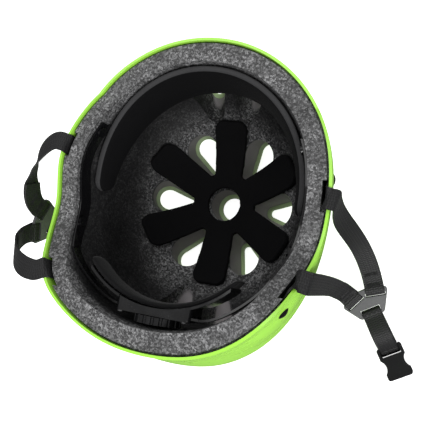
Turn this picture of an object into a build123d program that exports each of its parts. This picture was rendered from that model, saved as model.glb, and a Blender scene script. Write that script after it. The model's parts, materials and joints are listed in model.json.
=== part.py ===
"""Skateboard helmet, lying on its crown with the opening up.

Units are millimetres. +Z points up out of the opening, +Y to the forehead and +X to the
wearer's left. The origin is on the axis of the crown vent, at the plane the crown rests on.
"""

import os
from dataclasses import dataclass, replace
from functools import cache
from math import ceil, copysign, cos, pi, radians, sin, sqrt, tan, tau

from build123d import *

# Outer shell
shell_wall = 2.0
rim_half_width = 104.8
rim_front = 112.4
rim_rear = 118.9
belly_half_width = 97.4
belly_front = 114.9
belly_rear = 129.6
belly_height = 72.4
centre_y = -2.3
crown_flat = 20.0
dome_power = 2.13
front_power = 2.04
rear_power = 2.21
side_rim_height = 124.0
front_rim_height = 119.8
rear_rim_height = 143.0
nape_rim_height = 149.7
behind_ear_rim_height = 133.1
ear_rim_height = 121.6
tab_rim_height = 127.2
temple_rim_height = 125.5
blank_height = 158.0
nape_station_share = -0.673
behind_ear_station_share = -0.42
ear_station_share = -0.168
tab_station_share = 0.089
temple_station_share = 0.285
brow_station_share = 0.534
rim_end_station_share = 1.12
dome_level_shares = (0.03, 0.1, 0.22, 0.4, 0.65, 1.0)
flare_level_shares = (0.35, 0.7, 1.0, 1.3)
ring_points = 20

# Foam liner
liner_gap = 0.4
liner_crown = 22.0
liner_belly_height = 80.0
liner_half_width = 79.5
liner_front = 92.0
liner_rear = 99.0
liner_rim_half_width = 88.5
liner_rim_front = 95.0
liner_rim_rear = 100.8
liner_rim_drop = 1.5
liner_seam = 1.2
liner_seam_depth = 3.0

# Vents
crown_vent_radius = 10.0
liner_hub_vent_radius = 13.5
vent_count = 6
vent_wide_radius = 9.0
vent_narrow_radius = 3.5
vent_length = 32.0
vent_lip = 1.2
vent_flare_degrees = 5.0
crown_vent_tilt = 20.0
crown_vent_aim_height = 152.0
crown_vent_first_turn = 0.0
wall_vent_tilt = 64.0
wall_vent_aim_height = 100.0
wall_vent_turns = (79.0, 101.0, 259.0, 281.0)
vent_near = 40.0
crown_vent_far = 170.0
wall_vent_fars = (128.0, 128.0, 148.0, 148.0)

# Comfort pads and their hook dots
dot_radius = 9.0
dot_thickness = 1.0
dot_clearance = 0.15
star_thickness = 4.0
star_hub_radius = 28.0
star_hole_radius = 14.5
star_arm_reach = 62.0
star_arm_corner = 8.0
star_arm_tip_half_gap = 6.5
star_arm_root = 22.0
star_arm_root_radius = 12.0
star_first_arm_turn = 30.0
brow_thickness = 5.0
brow_end_y = -1.0
brow_end_height = 97.0
brow_end_radius = 9.0
brow_corner = 4.0
brow_top_height = 112.0
brow_bottom_height = 72.0

# Headband strips and their anchor pins
strip_gap = 0.6
strip_thickness = 1.4
strip_height = 10.0
strip_drop = 5.0
strip_front_y = 40.0
strip_rear_y = -58.0
strip_end_gap = 0.3
strip_wall_lead = 18.0
strip_rack_lead = 12.0
strip_stations = 5
pin_radius = 1.6
pin_head_radius = 3.8
pin_head = 1.4
pin_depth = 7.0
pin_clearance = 0.15
pin_front_y = 34.0
pin_rear_y = -38.0

# Rear cradle and the dial adjuster
cradle_centre_y = -16.0
lining_radius = 70.0
lining_thickness = 3.0
lining_height = 20.0
lining_half_width = 56.0
cradle_gap = 0.3
cradle_wall = 1.8
cradle_height = 24.0
cradle_half_width = 52.0
dial_height = 128.0
housing_half_width = 28.0
housing_height = 27.0
housing_wall = 1.4
housing_corner = 5.0
rack_thickness = 1.6
rack_height = 4.2
rack_inner = 9.0
rack_outer = 33.0
rack_hook = 2.4
gear_module = 1.0
gear_teeth = 10
tooth_depth_share = 2.0
tooth_backlash = 0.34
tooth_side_degrees = 20.0
slot_clearance = 0.3
dial_radius = 16.5
dial_thickness = 5.2
dial_gap = 0.4
dial_grips = 18
dial_grip_radius = 1.3
dial_shaft_radius = 2.5
shaft_clearance = 0.06
dial_face_recess = 1.2
screw_radius = 1.2
screw_head_radius = 2.2
screw_head = 0.9
screw_inset = 4.2

# Webbing, anchors and dividers
webbing_width = 15.0
strap_stations = 7
webbing = 1.4
anchor_gap = 0.6
anchor_channel_depth = 4.2
anchor_channel_margin = 2.0
anchor_tail = 9.0
front_anchor_y = 17.0
front_anchor_height = 103.0
left_front_exit_y = 0.0
right_front_exit_y = 20.0
rear_anchor_y = -78.0
rear_anchor_height = 128.0
left_rear_exit_y = -57.0
right_rear_exit_y = -77.0
exit_lift = 1.7
exit_reach = 3.6
exit_bend = 1.4
swing_clearance = 0.3
swing_play = 1.3
rivet_radius = 2.0
rivet_head_radius = 4.5
rivet_head = 1.6
rivet_clearance = 0.1
washer_radius = 5.0
washer = 0.8
divider_thickness = 3.0
divider_ear_corner = 2.4
divider_edge = 1.7
divider_bar = 3.0
divider_slot = 3.6
divider_rib = 2.0
divider_slot_y = -6.0
divider_front_turn = 13.5
divider_rear_turn = 21.5
divider_chin_half_gap = 7.4
divider_chin_y = 7.4
divider_chin_corner = 4.0
divider_chin_bar_y = 10.0
divider_chin_slot = 4.0
chin_bar_radius = 1.5
slot_margin = 0.7
loop_clearance = 0.3

# How the webbing lies: places as shares of rim and divider sizes, then directions
left_divider_shares = (1.225, -0.525, 1.55)
left_front_leave_shares = (-0.06, -0.11, -0.42)
left_rear_leave_shares = (0.06, 0.01, -0.26)
left_arrive_shares = (0.42, 0.12)
left_across = (-0.854, -0.521, 0)
left_chin = (0.492, -0.807, -0.325)
left_run = 33.0
left_arch = 9.0
right_divider_shares = (-1.22, -0.35, 6.45)
right_front_leave_shares = (-0.2, -0.04, -0.02)
right_rear_leave_shares = (-0.25, 0.0, 0.0)
right_arrive_shares = (0.19, 0.17)
right_across = (0.2, 0.98, 0)
right_chin = (0.25, 0, -0.97)
right_hang = (0, 0, -1)
right_run = 52.0
right_arch = 0.0

# Side-release buckle
buckle_width = 20.0
buckle_length = 26.0
buckle_thickness = 9.0
buckle_cheek = 2.0
buckle_slot = 4.4
buckle_waist = 2.6
buckle_waist_radius = 7.0
buckle_mouth_width = 15.8
buckle_mouth_height = 5.6
buckle_mouth_depth = 13.6
buckle_window = 6.0
buckle_corner = 2.0
plug_base = 11.0
plug_thickness = 7.6
tongue_width = 4.6
tongue_length = 11.0
tongue_thickness = 3.0
prong_length = 11.8
prong_width = 2.4
prong_barb = 1.9
prong_barb_length = 4.2
prong_thickness = 4.8
prong_gap = 0.3
keeper_length = 7.0
keeper_wall = 1.2
keeper_share = 0.5

probe_step = 1.2
overrun = 12.0


@dataclass(frozen=True)
class Form:
    """Sizes of one dome: half lengths at its belly and at its rim."""

    crown: float
    belly: float
    half_width: float
    front: float
    rear: float
    rim_half_width: float
    rim_front: float
    rim_rear: float


shell_form = Form(
    crown=0.0,
    belly=belly_height,
    half_width=belly_half_width,
    front=belly_front,
    rear=belly_rear,
    rim_half_width=rim_half_width,
    rim_front=rim_front,
    rim_rear=rim_rear,
)
cavity_form = Form(
    crown=shell_wall + liner_gap + liner_crown,
    belly=liner_belly_height,
    half_width=liner_half_width,
    front=liner_front,
    rear=liner_rear,
    rim_half_width=liner_rim_half_width,
    rim_front=liner_rim_front,
    rim_rear=liner_rim_rear,
)


def inset(form, depth):
    """The same dome moved inwards by a depth."""
    return replace(
        form,
        crown=form.crown + depth,
        half_width=form.half_width - depth,
        front=form.front - depth,
        rear=form.rear - depth,
        rim_half_width=form.rim_half_width - depth,
        rim_front=form.rim_front - depth,
        rim_rear=form.rim_rear - depth,
    )


def eased(belly, rim, height, low, high):
    """Blend from the belly size to the rim size, level at both ends."""
    share = min(1, max(0, (height - low) / (high - low)))
    return belly + (rim - belly) * share**2 * (3 - 2 * share)


def half_sizes(form, height):
    """Half width, front and rear length of a dome at one height."""
    if height <= form.belly:
        drop = min(1, (form.belly - height) / (form.belly - form.crown))
        share = max((1 - drop**dome_power) ** (1 / dome_power), crown_flat / belly_half_width)
        return form.half_width * share, form.front * share, form.rear * share
    return (
        eased(form.half_width, form.rim_half_width, height, form.belly, side_rim_height),
        eased(form.front, form.rim_front, height, form.belly, front_rim_height),
        eased(form.rear, form.rim_rear, height, form.belly, nape_rim_height),
    )


def bend(value, power):
    return copysign(abs(value) ** (2 / power), value)


def ring(form, height):
    """Closed outline of a dome at one height."""
    half_width, front, rear = half_sizes(form, height)
    points = []
    for step in range(ring_points):
        across, along = cos(tau * step / ring_points), sin(tau * step / ring_points)
        power = front_power if along > 0 else rear_power
        length = front if along > 0 else rear
        points.append((half_width * bend(across, power), centre_y + length * bend(along, power), height))
    return Wire([Spline(*points, periodic=True)])


@cache
def dome(form):
    """Solid dome from its flat crown to above the rim."""
    rise = form.belly - form.crown
    heights = [form.crown] + [form.crown + rise * share for share in dome_level_shares]
    heights += [form.belly + (side_rim_height - form.belly) * share for share in flare_level_shares]
    heights += [blank_height]
    return Solid.make_loft([ring(form, height) for height in heights])


@cache
def layer(form, near, far):
    """Skin of a dome between two depths."""
    return dome(inset(form, near)) - dome(inset(form, far))


def half_width_at(form, y, height):
    """Distance of a dome's side from the middle plane at a place."""
    half_width, front, rear = half_sizes(form, height)
    length, power = (front, front_power) if y > centre_y else (rear, rear_power)
    return half_width * (1 - abs((y - centre_y) / length) ** power) ** (1 / power)


def station(share):
    """Y place of a share of the rim's front or rear length."""
    return centre_y + share * (rim_front if share > 0 else rim_rear)


def rim_points():
    return [
        (station(-rim_end_station_share), rear_rim_height),
        (station(nape_station_share), nape_rim_height),
        (station(behind_ear_station_share), behind_ear_rim_height),
        (station(ear_station_share), ear_rim_height),
        (station(tab_station_share), tab_rim_height),
        (station(temple_station_share), temple_rim_height),
        (station(brow_station_share), front_rim_height),
        (station(rim_end_station_share), front_rim_height),
    ]


def across_prism(sketch, half_width):
    """Extrude a side view drawn as (y, z) to both sides."""
    return extrude(Plane.YZ * sketch, half_width, both=True)


def above_rim(drop):
    """Everything above the rim line, lowered by a drop."""
    points = [(y, height - drop) for y, height in rim_points()]
    top = blank_height + overrun
    outline = Spline(*points, tangents=[(1, 0), (1, 0)]) + Polyline(
        points[-1], (points[-1][0], top), (points[0][0], top), points[0]
    )
    return across_prism(make_face(outline), rim_half_width + overrun)


def rim_height(y):
    """Height of the shell's rim line at a place along the side."""
    points = rim_points()
    curve = Spline(*points, tangents=[(1, 0), (1, 0)])
    cut = curve & Line((y, 0), (y, blank_height))
    return cut.vertices()[0].Y


def teardrop(wide_radius, narrow_radius, length):
    """Vent outline with its narrow end towards -X."""
    half = length / 2
    wide = Pos(half - wide_radius, 0) * Circle(wide_radius)
    narrow = Pos(narrow_radius - half, 0) * Circle(narrow_radius)
    return make_hull((wide + narrow).edges())


def vent_places():
    """Plane of each vent, +Z out through the shell and +X away from the crown, and its reach."""
    step = 360 / vent_count
    crown_turns = [crown_vent_first_turn + step * i for i in range(vent_count)]
    crown = [(turn, crown_vent_tilt, crown_vent_aim_height, crown_vent_far) for turn in crown_turns]
    wall_ways = zip(wall_vent_turns, wall_vent_fars)
    wall = [(turn, wall_vent_tilt, wall_vent_aim_height, far) for turn, far in wall_ways]
    places = []
    for turn, tilt, aim, far in crown + wall:
        lean, round_z = radians(tilt), radians(turn)
        ray = Vector(sin(lean) * cos(round_z), sin(lean) * sin(round_z), -cos(lean))
        away = Vector(cos(lean) * cos(round_z), cos(lean) * sin(round_z), sin(lean))
        places.append((Plane(origin=(0, 0, aim), x_dir=away, z_dir=ray), far))
    return places


def shell_vents():
    """Cutters for the openings in the outer shell."""
    outline = teardrop(vent_wide_radius, vent_narrow_radius, vent_length)
    cutters = []
    for plane, far in vent_places():
        cutters.append(extrude(plane * Pos(0, 0, vent_near) * outline, far - vent_near))
    return cutters + [Cylinder(crown_vent_radius, overrun)]


def liner_vents():
    """Cutters for the liner's channels, which widen towards the head."""
    cutters = []
    for plane, far in vent_places():
        growth = (far - vent_near) * tan(radians(vent_flare_degrees))
        ends = []
        for distance, extra in ((vent_near, vent_lip + growth), (far, vent_lip)):
            outline = teardrop(vent_wide_radius + extra, vent_narrow_radius + extra, vent_length + 2 * extra)
            ends.append(plane * Pos(0, 0, distance) * outline)
        cutters.append(loft(ends))
    depth = cavity_form.crown + overrun
    return cutters + [Cylinder(liner_hub_vent_radius, 2 * depth)]


def strap_exits(side):
    """Y places where one side's front and rear strap leave the rim."""
    if side > 0:
        return left_front_exit_y, left_rear_exit_y
    return right_front_exit_y, right_rear_exit_y


def anchor_plan():
    """Anchor and exit of the four straps as (side, anchor y, anchor height, exit y)."""
    front = (front_anchor_y, front_anchor_height)
    rear = (rear_anchor_y, rear_anchor_height)
    plan = []
    for side in (1, -1):
        front_exit, rear_exit = strap_exits(side)
        plan += [(side, *front, front_exit), (side, *rear, rear_exit)]
    return plan


def anchor_strip(side, y, height, exit_y, width, tail):
    """Side view of a strap from under its rivet to above the rim, on one side only."""
    run = Vector(exit_y - y, rim_height(exit_y) - height)
    length = run.length + tail + overrun
    turn = Vector(0, 1).get_signed_angle(run, Vector(0, 0, 1))
    outline = Rectangle(width, length, align=(Align.CENTER, Align.MIN))
    plan = Pos(y, height) * Rot(0, 0, turn) * Pos(0, -tail) * outline
    reach = side * (rim_half_width + overrun)
    return extrude(Plane.YZ * plan, reach)


def surface_frame(side, form, y, height):
    """Plane on a dome's side with +Z straight outwards."""
    here = Vector(side * half_width_at(form, y, height), y, height)
    forth = Vector(side * half_width_at(form, y + probe_step, height), y + probe_step, height) - here
    above = height + probe_step
    up = Vector(side * half_width_at(form, y, above), y, above) - here
    out = forth.cross(up).normalized() * side
    return Plane(origin=here, x_dir=forth, z_dir=out)


def rivet_frames():
    return [surface_frame(side, shell_form, y, height) for side, y, height, _ in anchor_plan()]


def outer_shell():
    solid = dome(shell_form) - dome(inset(shell_form, shell_wall)) - above_rim(0)
    solid -= shell_vents()
    holes = [plane * Cylinder(rivet_radius + rivet_clearance, 2 * overrun) for plane in rivet_frames()]
    return solid - holes


def liner():
    depth = shell_wall + liner_gap
    solid = dome(inset(shell_form, depth)) - dome(cavity_form) - above_rim(liner_rim_drop)
    solid -= liner_vents()
    skin = layer(shell_form, depth - liner_gap, depth + anchor_channel_depth)
    width = webbing_width + 2 * anchor_channel_margin
    tail = anchor_tail + anchor_channel_margin
    channels = [skin & anchor_strip(*plan, width, tail) for plan in anchor_plan()]
    seam = layer(shell_form, shell_wall, depth + liner_seam) & above_rim(liner_rim_drop + liner_seam_depth)
    return solid - channels - seam - [plane * pin_hole() for plane in pin_frames()]


def rim_spot(side, y):
    """Point on the shell's outer rim edge."""
    height = rim_height(y)
    return Vector(side * half_width_at(shell_form, y, height), y, height)


def rim_frame(side, y):
    """Plane square to the rim line: +X out through the shell, +Y up."""
    half_step = webbing_width / 2
    along = (rim_spot(side, y + half_step) - rim_spot(side, y - half_step)).normalized()
    up = Vector(0, 0, 1)
    up = (up - along * up.dot(along)).normalized()
    out = up.cross(along) if up.cross(along).X * side > 0 else along.cross(up)
    return Plane(origin=rim_spot(side, y), x_dir=out, z_dir=out.cross(up))


def rim_bend(side, y):
    """Webbing that comes up beside the shell and lies out over its edge."""
    inner = -(shell_wall + anchor_gap + webbing / 2)
    end = (exit_reach + exit_bend, exit_lift)
    path = FilletPolyline((inner, -2 * exit_bend), (inner, exit_lift), end, radius=exit_bend)
    bent = extrude(rim_frame(side, y) * trace(path, webbing), webbing_width / 2, both=True)
    beyond = Box(4 * rim_rear, 4 * rim_rear, rim_rear, align=(Align.CENTER, Align.CENTER, Align.MIN))
    return bent - swing_frame(side) * Pos(0, 0, -swing_clearance) * beyond


def strap_tabs():
    """Webbing ends held between shell and liner, with their rivet holes and rim bends."""
    near = shell_wall + anchor_gap
    skin = layer(shell_form, near, near + webbing)
    holes = [plane * Cylinder(rivet_radius + rivet_clearance, 2 * overrun) for plane in rivet_frames()]
    tabs = []
    for side, y, height, exit_y in anchor_plan():
        flat = (skin & anchor_strip(side, y, height, exit_y, webbing_width, anchor_tail)) - above_rim(0)
        tabs.append(flat - holes + rim_bend(side, exit_y))
    return tabs


def rivets():
    """Domed rivets whose shanks run through shell, webbing and washer."""
    grip = shell_wall + anchor_gap + webbing + washer + anchor_gap
    parts = []
    for plane in rivet_frames():
        dome_radius = (rivet_head_radius**2 + rivet_head**2) / (2 * rivet_head)
        cap = Pos(0, 0, rivet_head - dome_radius) * Sphere(dome_radius)
        cap &= Cylinder(rivet_head_radius, rivet_head, align=(Align.CENTER, Align.CENTER, Align.MIN))
        shank = Cylinder(rivet_radius, grip, align=(Align.CENTER, Align.CENTER, Align.MAX))
        parts.append(plane * Pos(0, 0, rivet_clearance) * (cap + shank))
    return parts


def washers():
    """Flat washers behind the webbing at each rivet."""
    top = shell_wall + 2 * anchor_gap + webbing
    hole = rivet_radius + rivet_clearance
    flat = Cylinder(washer_radius, washer, align=(Align.CENTER, Align.CENTER, Align.MAX))
    flat -= Cylinder(hole, 2 * overrun)
    return [plane * Pos(0, 0, -top) * flat for plane in rivet_frames()]


def star_outline():
    arm_spots = Pos(star_arm_reach, star_arm_tip_half_gap) * Circle(star_arm_corner)
    arm_spots += Pos(star_arm_reach, -star_arm_tip_half_gap) * Circle(star_arm_corner)
    arm_spots += Pos(star_arm_root, 0) * Circle(star_arm_root_radius)
    arm = make_hull(arm_spots.edges())
    outline = Circle(star_hub_radius)
    for i in range(vent_count):
        outline += Rot(0, 0, star_first_arm_turn + 360 / vent_count * i) * arm
    return outline - Circle(star_hole_radius)


def crown_pad():
    """Six-armed pad draped over the inside of the crown."""
    near = dot_thickness + 2 * dot_clearance
    prism = extrude(star_outline(), liner_belly_height)
    return layer(cavity_form, near, near + star_thickness) & prism


def brow_outline():
    far = liner_rim_front
    spots = Pos(brow_end_y, brow_end_height) * Circle(brow_end_radius)
    spots += Pos(far, brow_top_height - brow_corner) * Circle(brow_corner)
    spots += Pos(far, brow_bottom_height + brow_corner) * Circle(brow_corner)
    return make_hull(spots.edges())


def brow_pad():
    """Pad that lines the front from temple to temple."""
    near = dot_thickness + 2 * dot_clearance
    skin = layer(cavity_form, near, near + brow_thickness)
    return skin & across_prism(brow_outline(), liner_half_width + overrun)


def hook_dots():
    """Discs that hold the two pads to the liner."""
    skin = layer(cavity_form, dot_clearance, dot_clearance + dot_thickness)
    disc = Circle(dot_radius)
    dots = []
    for i in range(vent_count):
        turn = Rot(0, 0, star_first_arm_turn + 360 / vent_count * i)
        reach = star_arm_reach - dot_radius
        dots.append(skin & extrude(turn * Pos(reach, 0) * disc, liner_belly_height))
    middle = (brow_top_height + brow_bottom_height) / 2
    side_y = brow_end_y + 2 * dot_radius
    for side in (1, -1):
        spot = Plane.YZ * Pos(side_y, brow_end_height) * Circle(dot_radius / 2)
        dots.append(skin & extrude(spot, side * (liner_half_width + overrun)))
    front = Plane.XZ * Pos(0, middle) * disc
    return dots + [skin & extrude(front, -(liner_front + overrun))]


def ribbon(points, acrosses, sizes, stations):
    """Flat band along a curve of four points, with its direction and size at both ends."""
    start, near, far, finish = points
    wires = []
    for step in range(stations + 1):
        share = step / stations
        rest = 1 - share
        centre = start * rest**3 + near * (3 * rest**2 * share)
        centre += far * (3 * rest * share**2) + finish * share**3
        along = (near - start) * rest**2 + (far - near) * (2 * rest * share) + (finish - far) * share**2
        across = acrosses[0] * rest + acrosses[1] * share
        across = across - along * (across.dot(along) / along.dot(along))
        width, thickness = (sizes[0][i] * rest + sizes[1][i] * share for i in range(2))
        plane = Plane(origin=centre, x_dir=across, z_dir=along)
        wires.append((plane * Rectangle(width, thickness)).wire())
    return Solid.make_loft(wires)


def strip_tail(side):
    """Free end of a strip, from the wall to the outer end of its rack."""
    height = rim_height(strip_rear_y) - strip_drop - strip_height / 2
    wall = surface_frame(side, cavity_form, strip_rear_y, height)
    start = wall.origin - wall.z_dir * (strip_gap + strip_thickness / 2)
    band_back, _, _ = housing_planes()
    outward = Vector(side, 0, 0)
    middle = band_back - slot_clearance - rack_thickness / 2
    finish = outward * (rack_outer + strip_end_gap) + Vector(0, middle, dial_height + rack_lane(side))
    points = (start, start - wall.x_dir * strip_wall_lead, finish + outward * strip_rack_lead, finish)
    sizes = ((strip_height, strip_thickness), (rack_height, rack_thickness))
    up = Vector(0, 0, 1)
    return ribbon(points, (up, up), sizes, strip_stations)


def headband_strip(side):
    """Thin strip under the rim line, from the temple pin back to the adjuster's rack."""
    skin = layer(cavity_form, strip_gap, strip_gap + strip_thickness)
    prism = above_rim(strip_drop + strip_height) - above_rim(strip_drop)
    length = strip_front_y - strip_rear_y
    outward = (Align.MIN if side > 0 else Align.MAX, Align.MAX, Align.MIN)
    span = Pos(0, strip_front_y, 0) * Box(liner_half_width + overrun, length, blank_height, align=outward)
    holes = [plane * Cylinder(pin_radius + pin_clearance, 4 * overrun) for plane in pin_frames()]
    return (skin & prism & span) - holes + strip_tail(side)


def pin_frames():
    """Frames of the headband pins, on the cavity wall with +Z towards the head."""
    frames = []
    for y in (pin_front_y, pin_rear_y):
        for side in (1, -1):
            wall = surface_frame(side, cavity_form, y, rim_height(y) - strip_drop - strip_height / 2)
            frames.append(Plane(origin=wall.origin, x_dir=wall.x_dir, z_dir=-wall.z_dir))
    return frames


def pin_hole():
    """Blind hole for a pin, from above the cavity wall down to its depth."""
    depth = pin_depth + pin_clearance
    low = (Align.CENTER, Align.CENTER, Align.MIN)
    return Pos(0, 0, -depth) * Cylinder(pin_radius + pin_clearance, depth + overrun, align=low)


def pins():
    """Barbed pins that hold the strips to the liner."""
    seat = strip_gap + strip_thickness + 2 * pin_clearance
    low, high = (Align.CENTER, Align.CENTER, Align.MIN), (Align.CENTER, Align.CENTER, Align.MAX)
    pin = Cylinder(pin_head_radius, pin_head, align=low) + Cylinder(pin_radius, seat + pin_depth, align=high)
    return [plane * Pos(0, 0, seat) * pin for plane in pin_frames()]


def arc_band(radius, thickness, height, middle, half_width):
    """Upright band on the cradle's curve, at the rear and cut square at both ends."""
    place = Pos(0, cradle_centre_y, middle)
    band = place * (Cylinder(radius + thickness, height) - Cylinder(radius, height + overrun))
    reach = radius + thickness + overrun
    rearward = (Align.CENTER, Align.MAX, Align.CENTER)
    return band & place * Box(2 * half_width, reach, height + overrun, align=rearward)


def lining():
    return arc_band(lining_radius, lining_thickness, lining_height, dial_height, lining_half_width)


def housing_planes():
    """Y places of the adjuster's layers, from the band outwards."""
    band_back = cradle_centre_y - (lining_radius + lining_thickness + cradle_gap + cradle_wall)
    rack_room = rack_thickness + 2 * slot_clearance
    return band_back, band_back - rack_room, band_back - rack_room - housing_wall


def housing_outline():
    return RectangleRounded(2 * housing_half_width, housing_height, housing_corner)


def back_slab(sketch, y_from, depth):
    """Solid from a rear view drawn as (x, z), running towards -Y."""
    return extrude(Plane(origin=(0, y_from, dial_height), x_dir=(1, 0, 0), z_dir=(0, -1, 0)) * sketch, depth)


def rack_lane(side):
    """Height of a rack's middle line above or below the dial's axis."""
    pitch_radius = gear_module * gear_teeth / 2
    return side * (pitch_radius + gear_module * tooth_depth_share / 2 + rack_height / 2)


def cradle():
    """Curved band with the adjuster's seat and its rack channels."""
    radius = lining_radius + lining_thickness + cradle_gap
    band = arc_band(radius, cradle_wall, cradle_height, dial_height, cradle_half_width)
    band_back, rack_back, _ = housing_planes()
    reach = overrun
    seat = back_slab(housing_outline(), band_back + reach, reach + band_back - rack_back)
    seat -= Pos(0, cradle_centre_y, dial_height) * Cylinder(radius, 2 * housing_height)
    half_room = rack_lane(1) + rack_height / 2 + slot_clearance
    room = Rectangle(2 * (housing_half_width + overrun), 2 * half_room)
    seat -= back_slab(room, band_back, overrun)
    solid = band + seat
    bore = Circle(screw_radius + pin_clearance)
    return solid - [back_slab(Pos(x, z) * bore, band_back, overrun) for x, z in screw_spots()]


def screw_spots():
    x = housing_half_width - screw_inset
    z = housing_height / 2 - screw_inset / 2
    return [(side * x, rise * z) for side in (1, -1) for rise in (1, -1)]


def cover():
    """Back plate of the adjuster, with the dial's shaft hole."""
    _, rack_back, cover_back = housing_planes()
    plate = back_slab(housing_outline(), rack_back, rack_back - cover_back)
    holes = [Circle(dial_shaft_radius + shaft_clearance)]
    holes += [Pos(x, z) * Circle(screw_radius + pin_clearance) for x, z in screw_spots()]
    return plate - [back_slab(hole, rack_back + overrun, 2 * overrun) for hole in holes]


def screws():
    band_back, _, cover_back = housing_planes()
    parts = []
    for x, z in screw_spots():
        head = back_slab(Pos(x, z) * Circle(screw_head_radius), cover_back, screw_head)
        driver = Pos(x, z) * Rectangle(screw_radius / 2, screw_radius * 2)
        head -= back_slab(driver, cover_back - screw_head / 2, screw_head)
        length = band_back - cover_back
        parts.append(head + back_slab(Pos(x, z) * Circle(screw_radius), band_back, length))
    return parts


def tooth():
    """One straight-sided gear tooth pointing to +Y, with its pitch line at Y zero."""
    half_pitch = gear_module * pi / 4 - tooth_backlash / 2
    tip = gear_module - tooth_backlash / 2
    foot = gear_module + tooth_backlash
    slope = tan(radians(tooth_side_degrees))
    return Polygon(
        (-half_pitch - foot * slope, -foot),
        (half_pitch + foot * slope, -foot),
        (half_pitch - tip * slope, tip),
        (-half_pitch + tip * slope, tip),
        align=None,
    )


def pinion_outline():
    pitch_radius = gear_module * gear_teeth / 2
    outline = Circle(pitch_radius - gear_module)
    for i in range(gear_teeth):
        outline += Rot(0, 0, 360 / gear_teeth * i) * Pos(0, pitch_radius) * tooth()
    return outline


def dial():
    """Grip wheel with its shaft and pinion in one moulding."""
    band_back, rack_back, cover_back = housing_planes()
    grip = Pos(dial_radius, 0) * Circle(dial_grip_radius)
    grips = [Rot(0, 0, 360 / dial_grips * i) * grip for i in range(dial_grips)]
    wheel = back_slab(Circle(dial_radius) - grips, cover_back - dial_gap, dial_thickness)
    face = Circle(dial_radius - 3 * dial_grip_radius) - Circle(dial_shaft_radius * 2)
    wheel -= back_slab(face, cover_back - dial_gap - dial_thickness + dial_face_recess, overrun)
    shaft = back_slab(Circle(dial_shaft_radius), rack_back, rack_back - cover_back + dial_gap)
    gear = back_slab(pinion_outline(), band_back - slot_clearance, rack_thickness)
    shaft += back_slab(Circle(dial_shaft_radius), band_back - slot_clearance, rack_thickness + slot_clearance)
    return wheel + shaft + gear


def rack(side):
    """Toothed slat; side 1 runs out to +X above the axis, side -1 to -X below it."""
    band_back, _, _ = housing_planes()
    pitch_radius = gear_module * gear_teeth / 2
    pitch = gear_module * pi
    bar = Rectangle(rack_outer + rack_inner, rack_height)
    outline = Pos((rack_outer - rack_inner) / 2, rack_lane(1)) * bar
    count = int((rack_outer - rack_hook + rack_inner) / pitch) - 1
    first = -ceil(rack_inner / pitch) + 1
    for i in range(count):
        place = Pos((first + i + 0.5) * pitch, pitch_radius)
        outline += place * Rot(0, 0, 180) * tooth()
    hook = Pos(rack_outer - rack_hook, rack_lane(1)) * Circle(rack_hook / 2)
    outline -= hook
    slat = back_slab(outline, band_back - slot_clearance, rack_thickness)
    if side > 0:
        return slat
    return slat.rotate(Axis((0, 0, dial_height), (0, 1, 0)), 180)


@dataclass(frozen=True)
class StrapSide:
    """Where one side's divider lies and how its straps leave the rim and reach it."""

    side: int
    divider: Vector
    across: Vector
    chin: Vector
    front_leave: Vector
    rear_leave: Vector
    arrive: tuple


def divider_place(shares):
    """Middle of a divider, from its shares of the rim's half width, rear and divider ear."""
    across, along, up = shares
    return Vector(across * rim_half_width, along * rim_rear, up * webbing_width)


left = StrapSide(
    side=1,
    divider=divider_place(left_divider_shares),
    across=Vector(*left_across),
    chin=Vector(*left_chin),
    front_leave=Vector(*left_front_leave_shares) * rim_half_width,
    rear_leave=Vector(*left_rear_leave_shares) * rim_half_width,
    arrive=left_arrive_shares,
)
right = StrapSide(
    side=-1,
    divider=divider_place(right_divider_shares),
    across=Vector(*right_across),
    chin=Vector(*right_chin),
    front_leave=Vector(*right_front_leave_shares) * rim_half_width,
    rear_leave=Vector(*right_rear_leave_shares) * rim_half_width,
    arrive=right_arrive_shares,
)


def divider_frame(place):
    """Plane of a divider: +X along its slots, +Y towards the chin and +Z away from the head."""
    across = place.across.normalized()
    chin = (place.chin - across * place.chin.dot(across)).normalized()
    return Plane(origin=place.divider, x_dir=across, z_dir=across.cross(chin))


def slot_spot(place, end):
    """Place of a strap's slot in the divider's plane; end 1 is the front strap's."""
    hand = -place.side * end
    turn = divider_front_turn if end > 0 else divider_rear_turn
    half = (webbing_width + slot_margin) / 2
    return Pos(hand * divider_rib / 2, divider_slot_y) * Rot(0, 0, hand * turn) * Pos(hand * half, 0)


def divider(place):
    """Plate with a slot and a bar square to each strap, and a round bar for the chin loop."""
    slot_length = webbing_width + slot_margin
    corners = Pos(divider_chin_half_gap, divider_chin_y) * Circle(divider_chin_corner)
    corners += Pos(-divider_chin_half_gap, divider_chin_y) * Circle(divider_chin_corner)
    ear_x = slot_length / 2 + divider_edge - divider_ear_corner
    ear_y = divider_slot / 2 + divider_bar - divider_ear_corner
    for end in (1, -1):
        for x in (ear_x, -ear_x):
            corners += slot_spot(place, end) * Pos(x, -ear_y) * Circle(divider_ear_corner)
    outline = make_hull(corners.edges())
    for end in (1, -1):
        outline -= slot_spot(place, end) * RectangleRounded(slot_length, divider_slot, divider_slot / 3)
    far_edge = divider_chin_bar_y - chin_bar_radius - divider_chin_slot
    outline -= Pos(0, far_edge) * Rectangle(slot_length, 2 * divider_chin_y, align=(Align.CENTER, Align.MIN))
    plate = extrude(outline, divider_thickness / 2, both=True)
    return divider_frame(place) * (plate + Pos(0, divider_chin_bar_y, 0) * chin_bar())


def chin_bar():
    """Round bar along X that a chin loop turns on."""
    return Rot(0, 90, 0) * Cylinder(chin_bar_radius, webbing_width + slot_margin)


def fold(half_bar, half_thickness, width):
    """Webbing folded once round a bar that runs along X."""
    length, height = 2 * (half_bar + loop_clearance), 2 * (half_thickness + loop_clearance)
    inner = RectangleRounded(length, height, height / 4)
    outer = offset(inner, webbing)
    return extrude(Plane.YZ * (outer - inner), width / 2, both=True)


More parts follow.
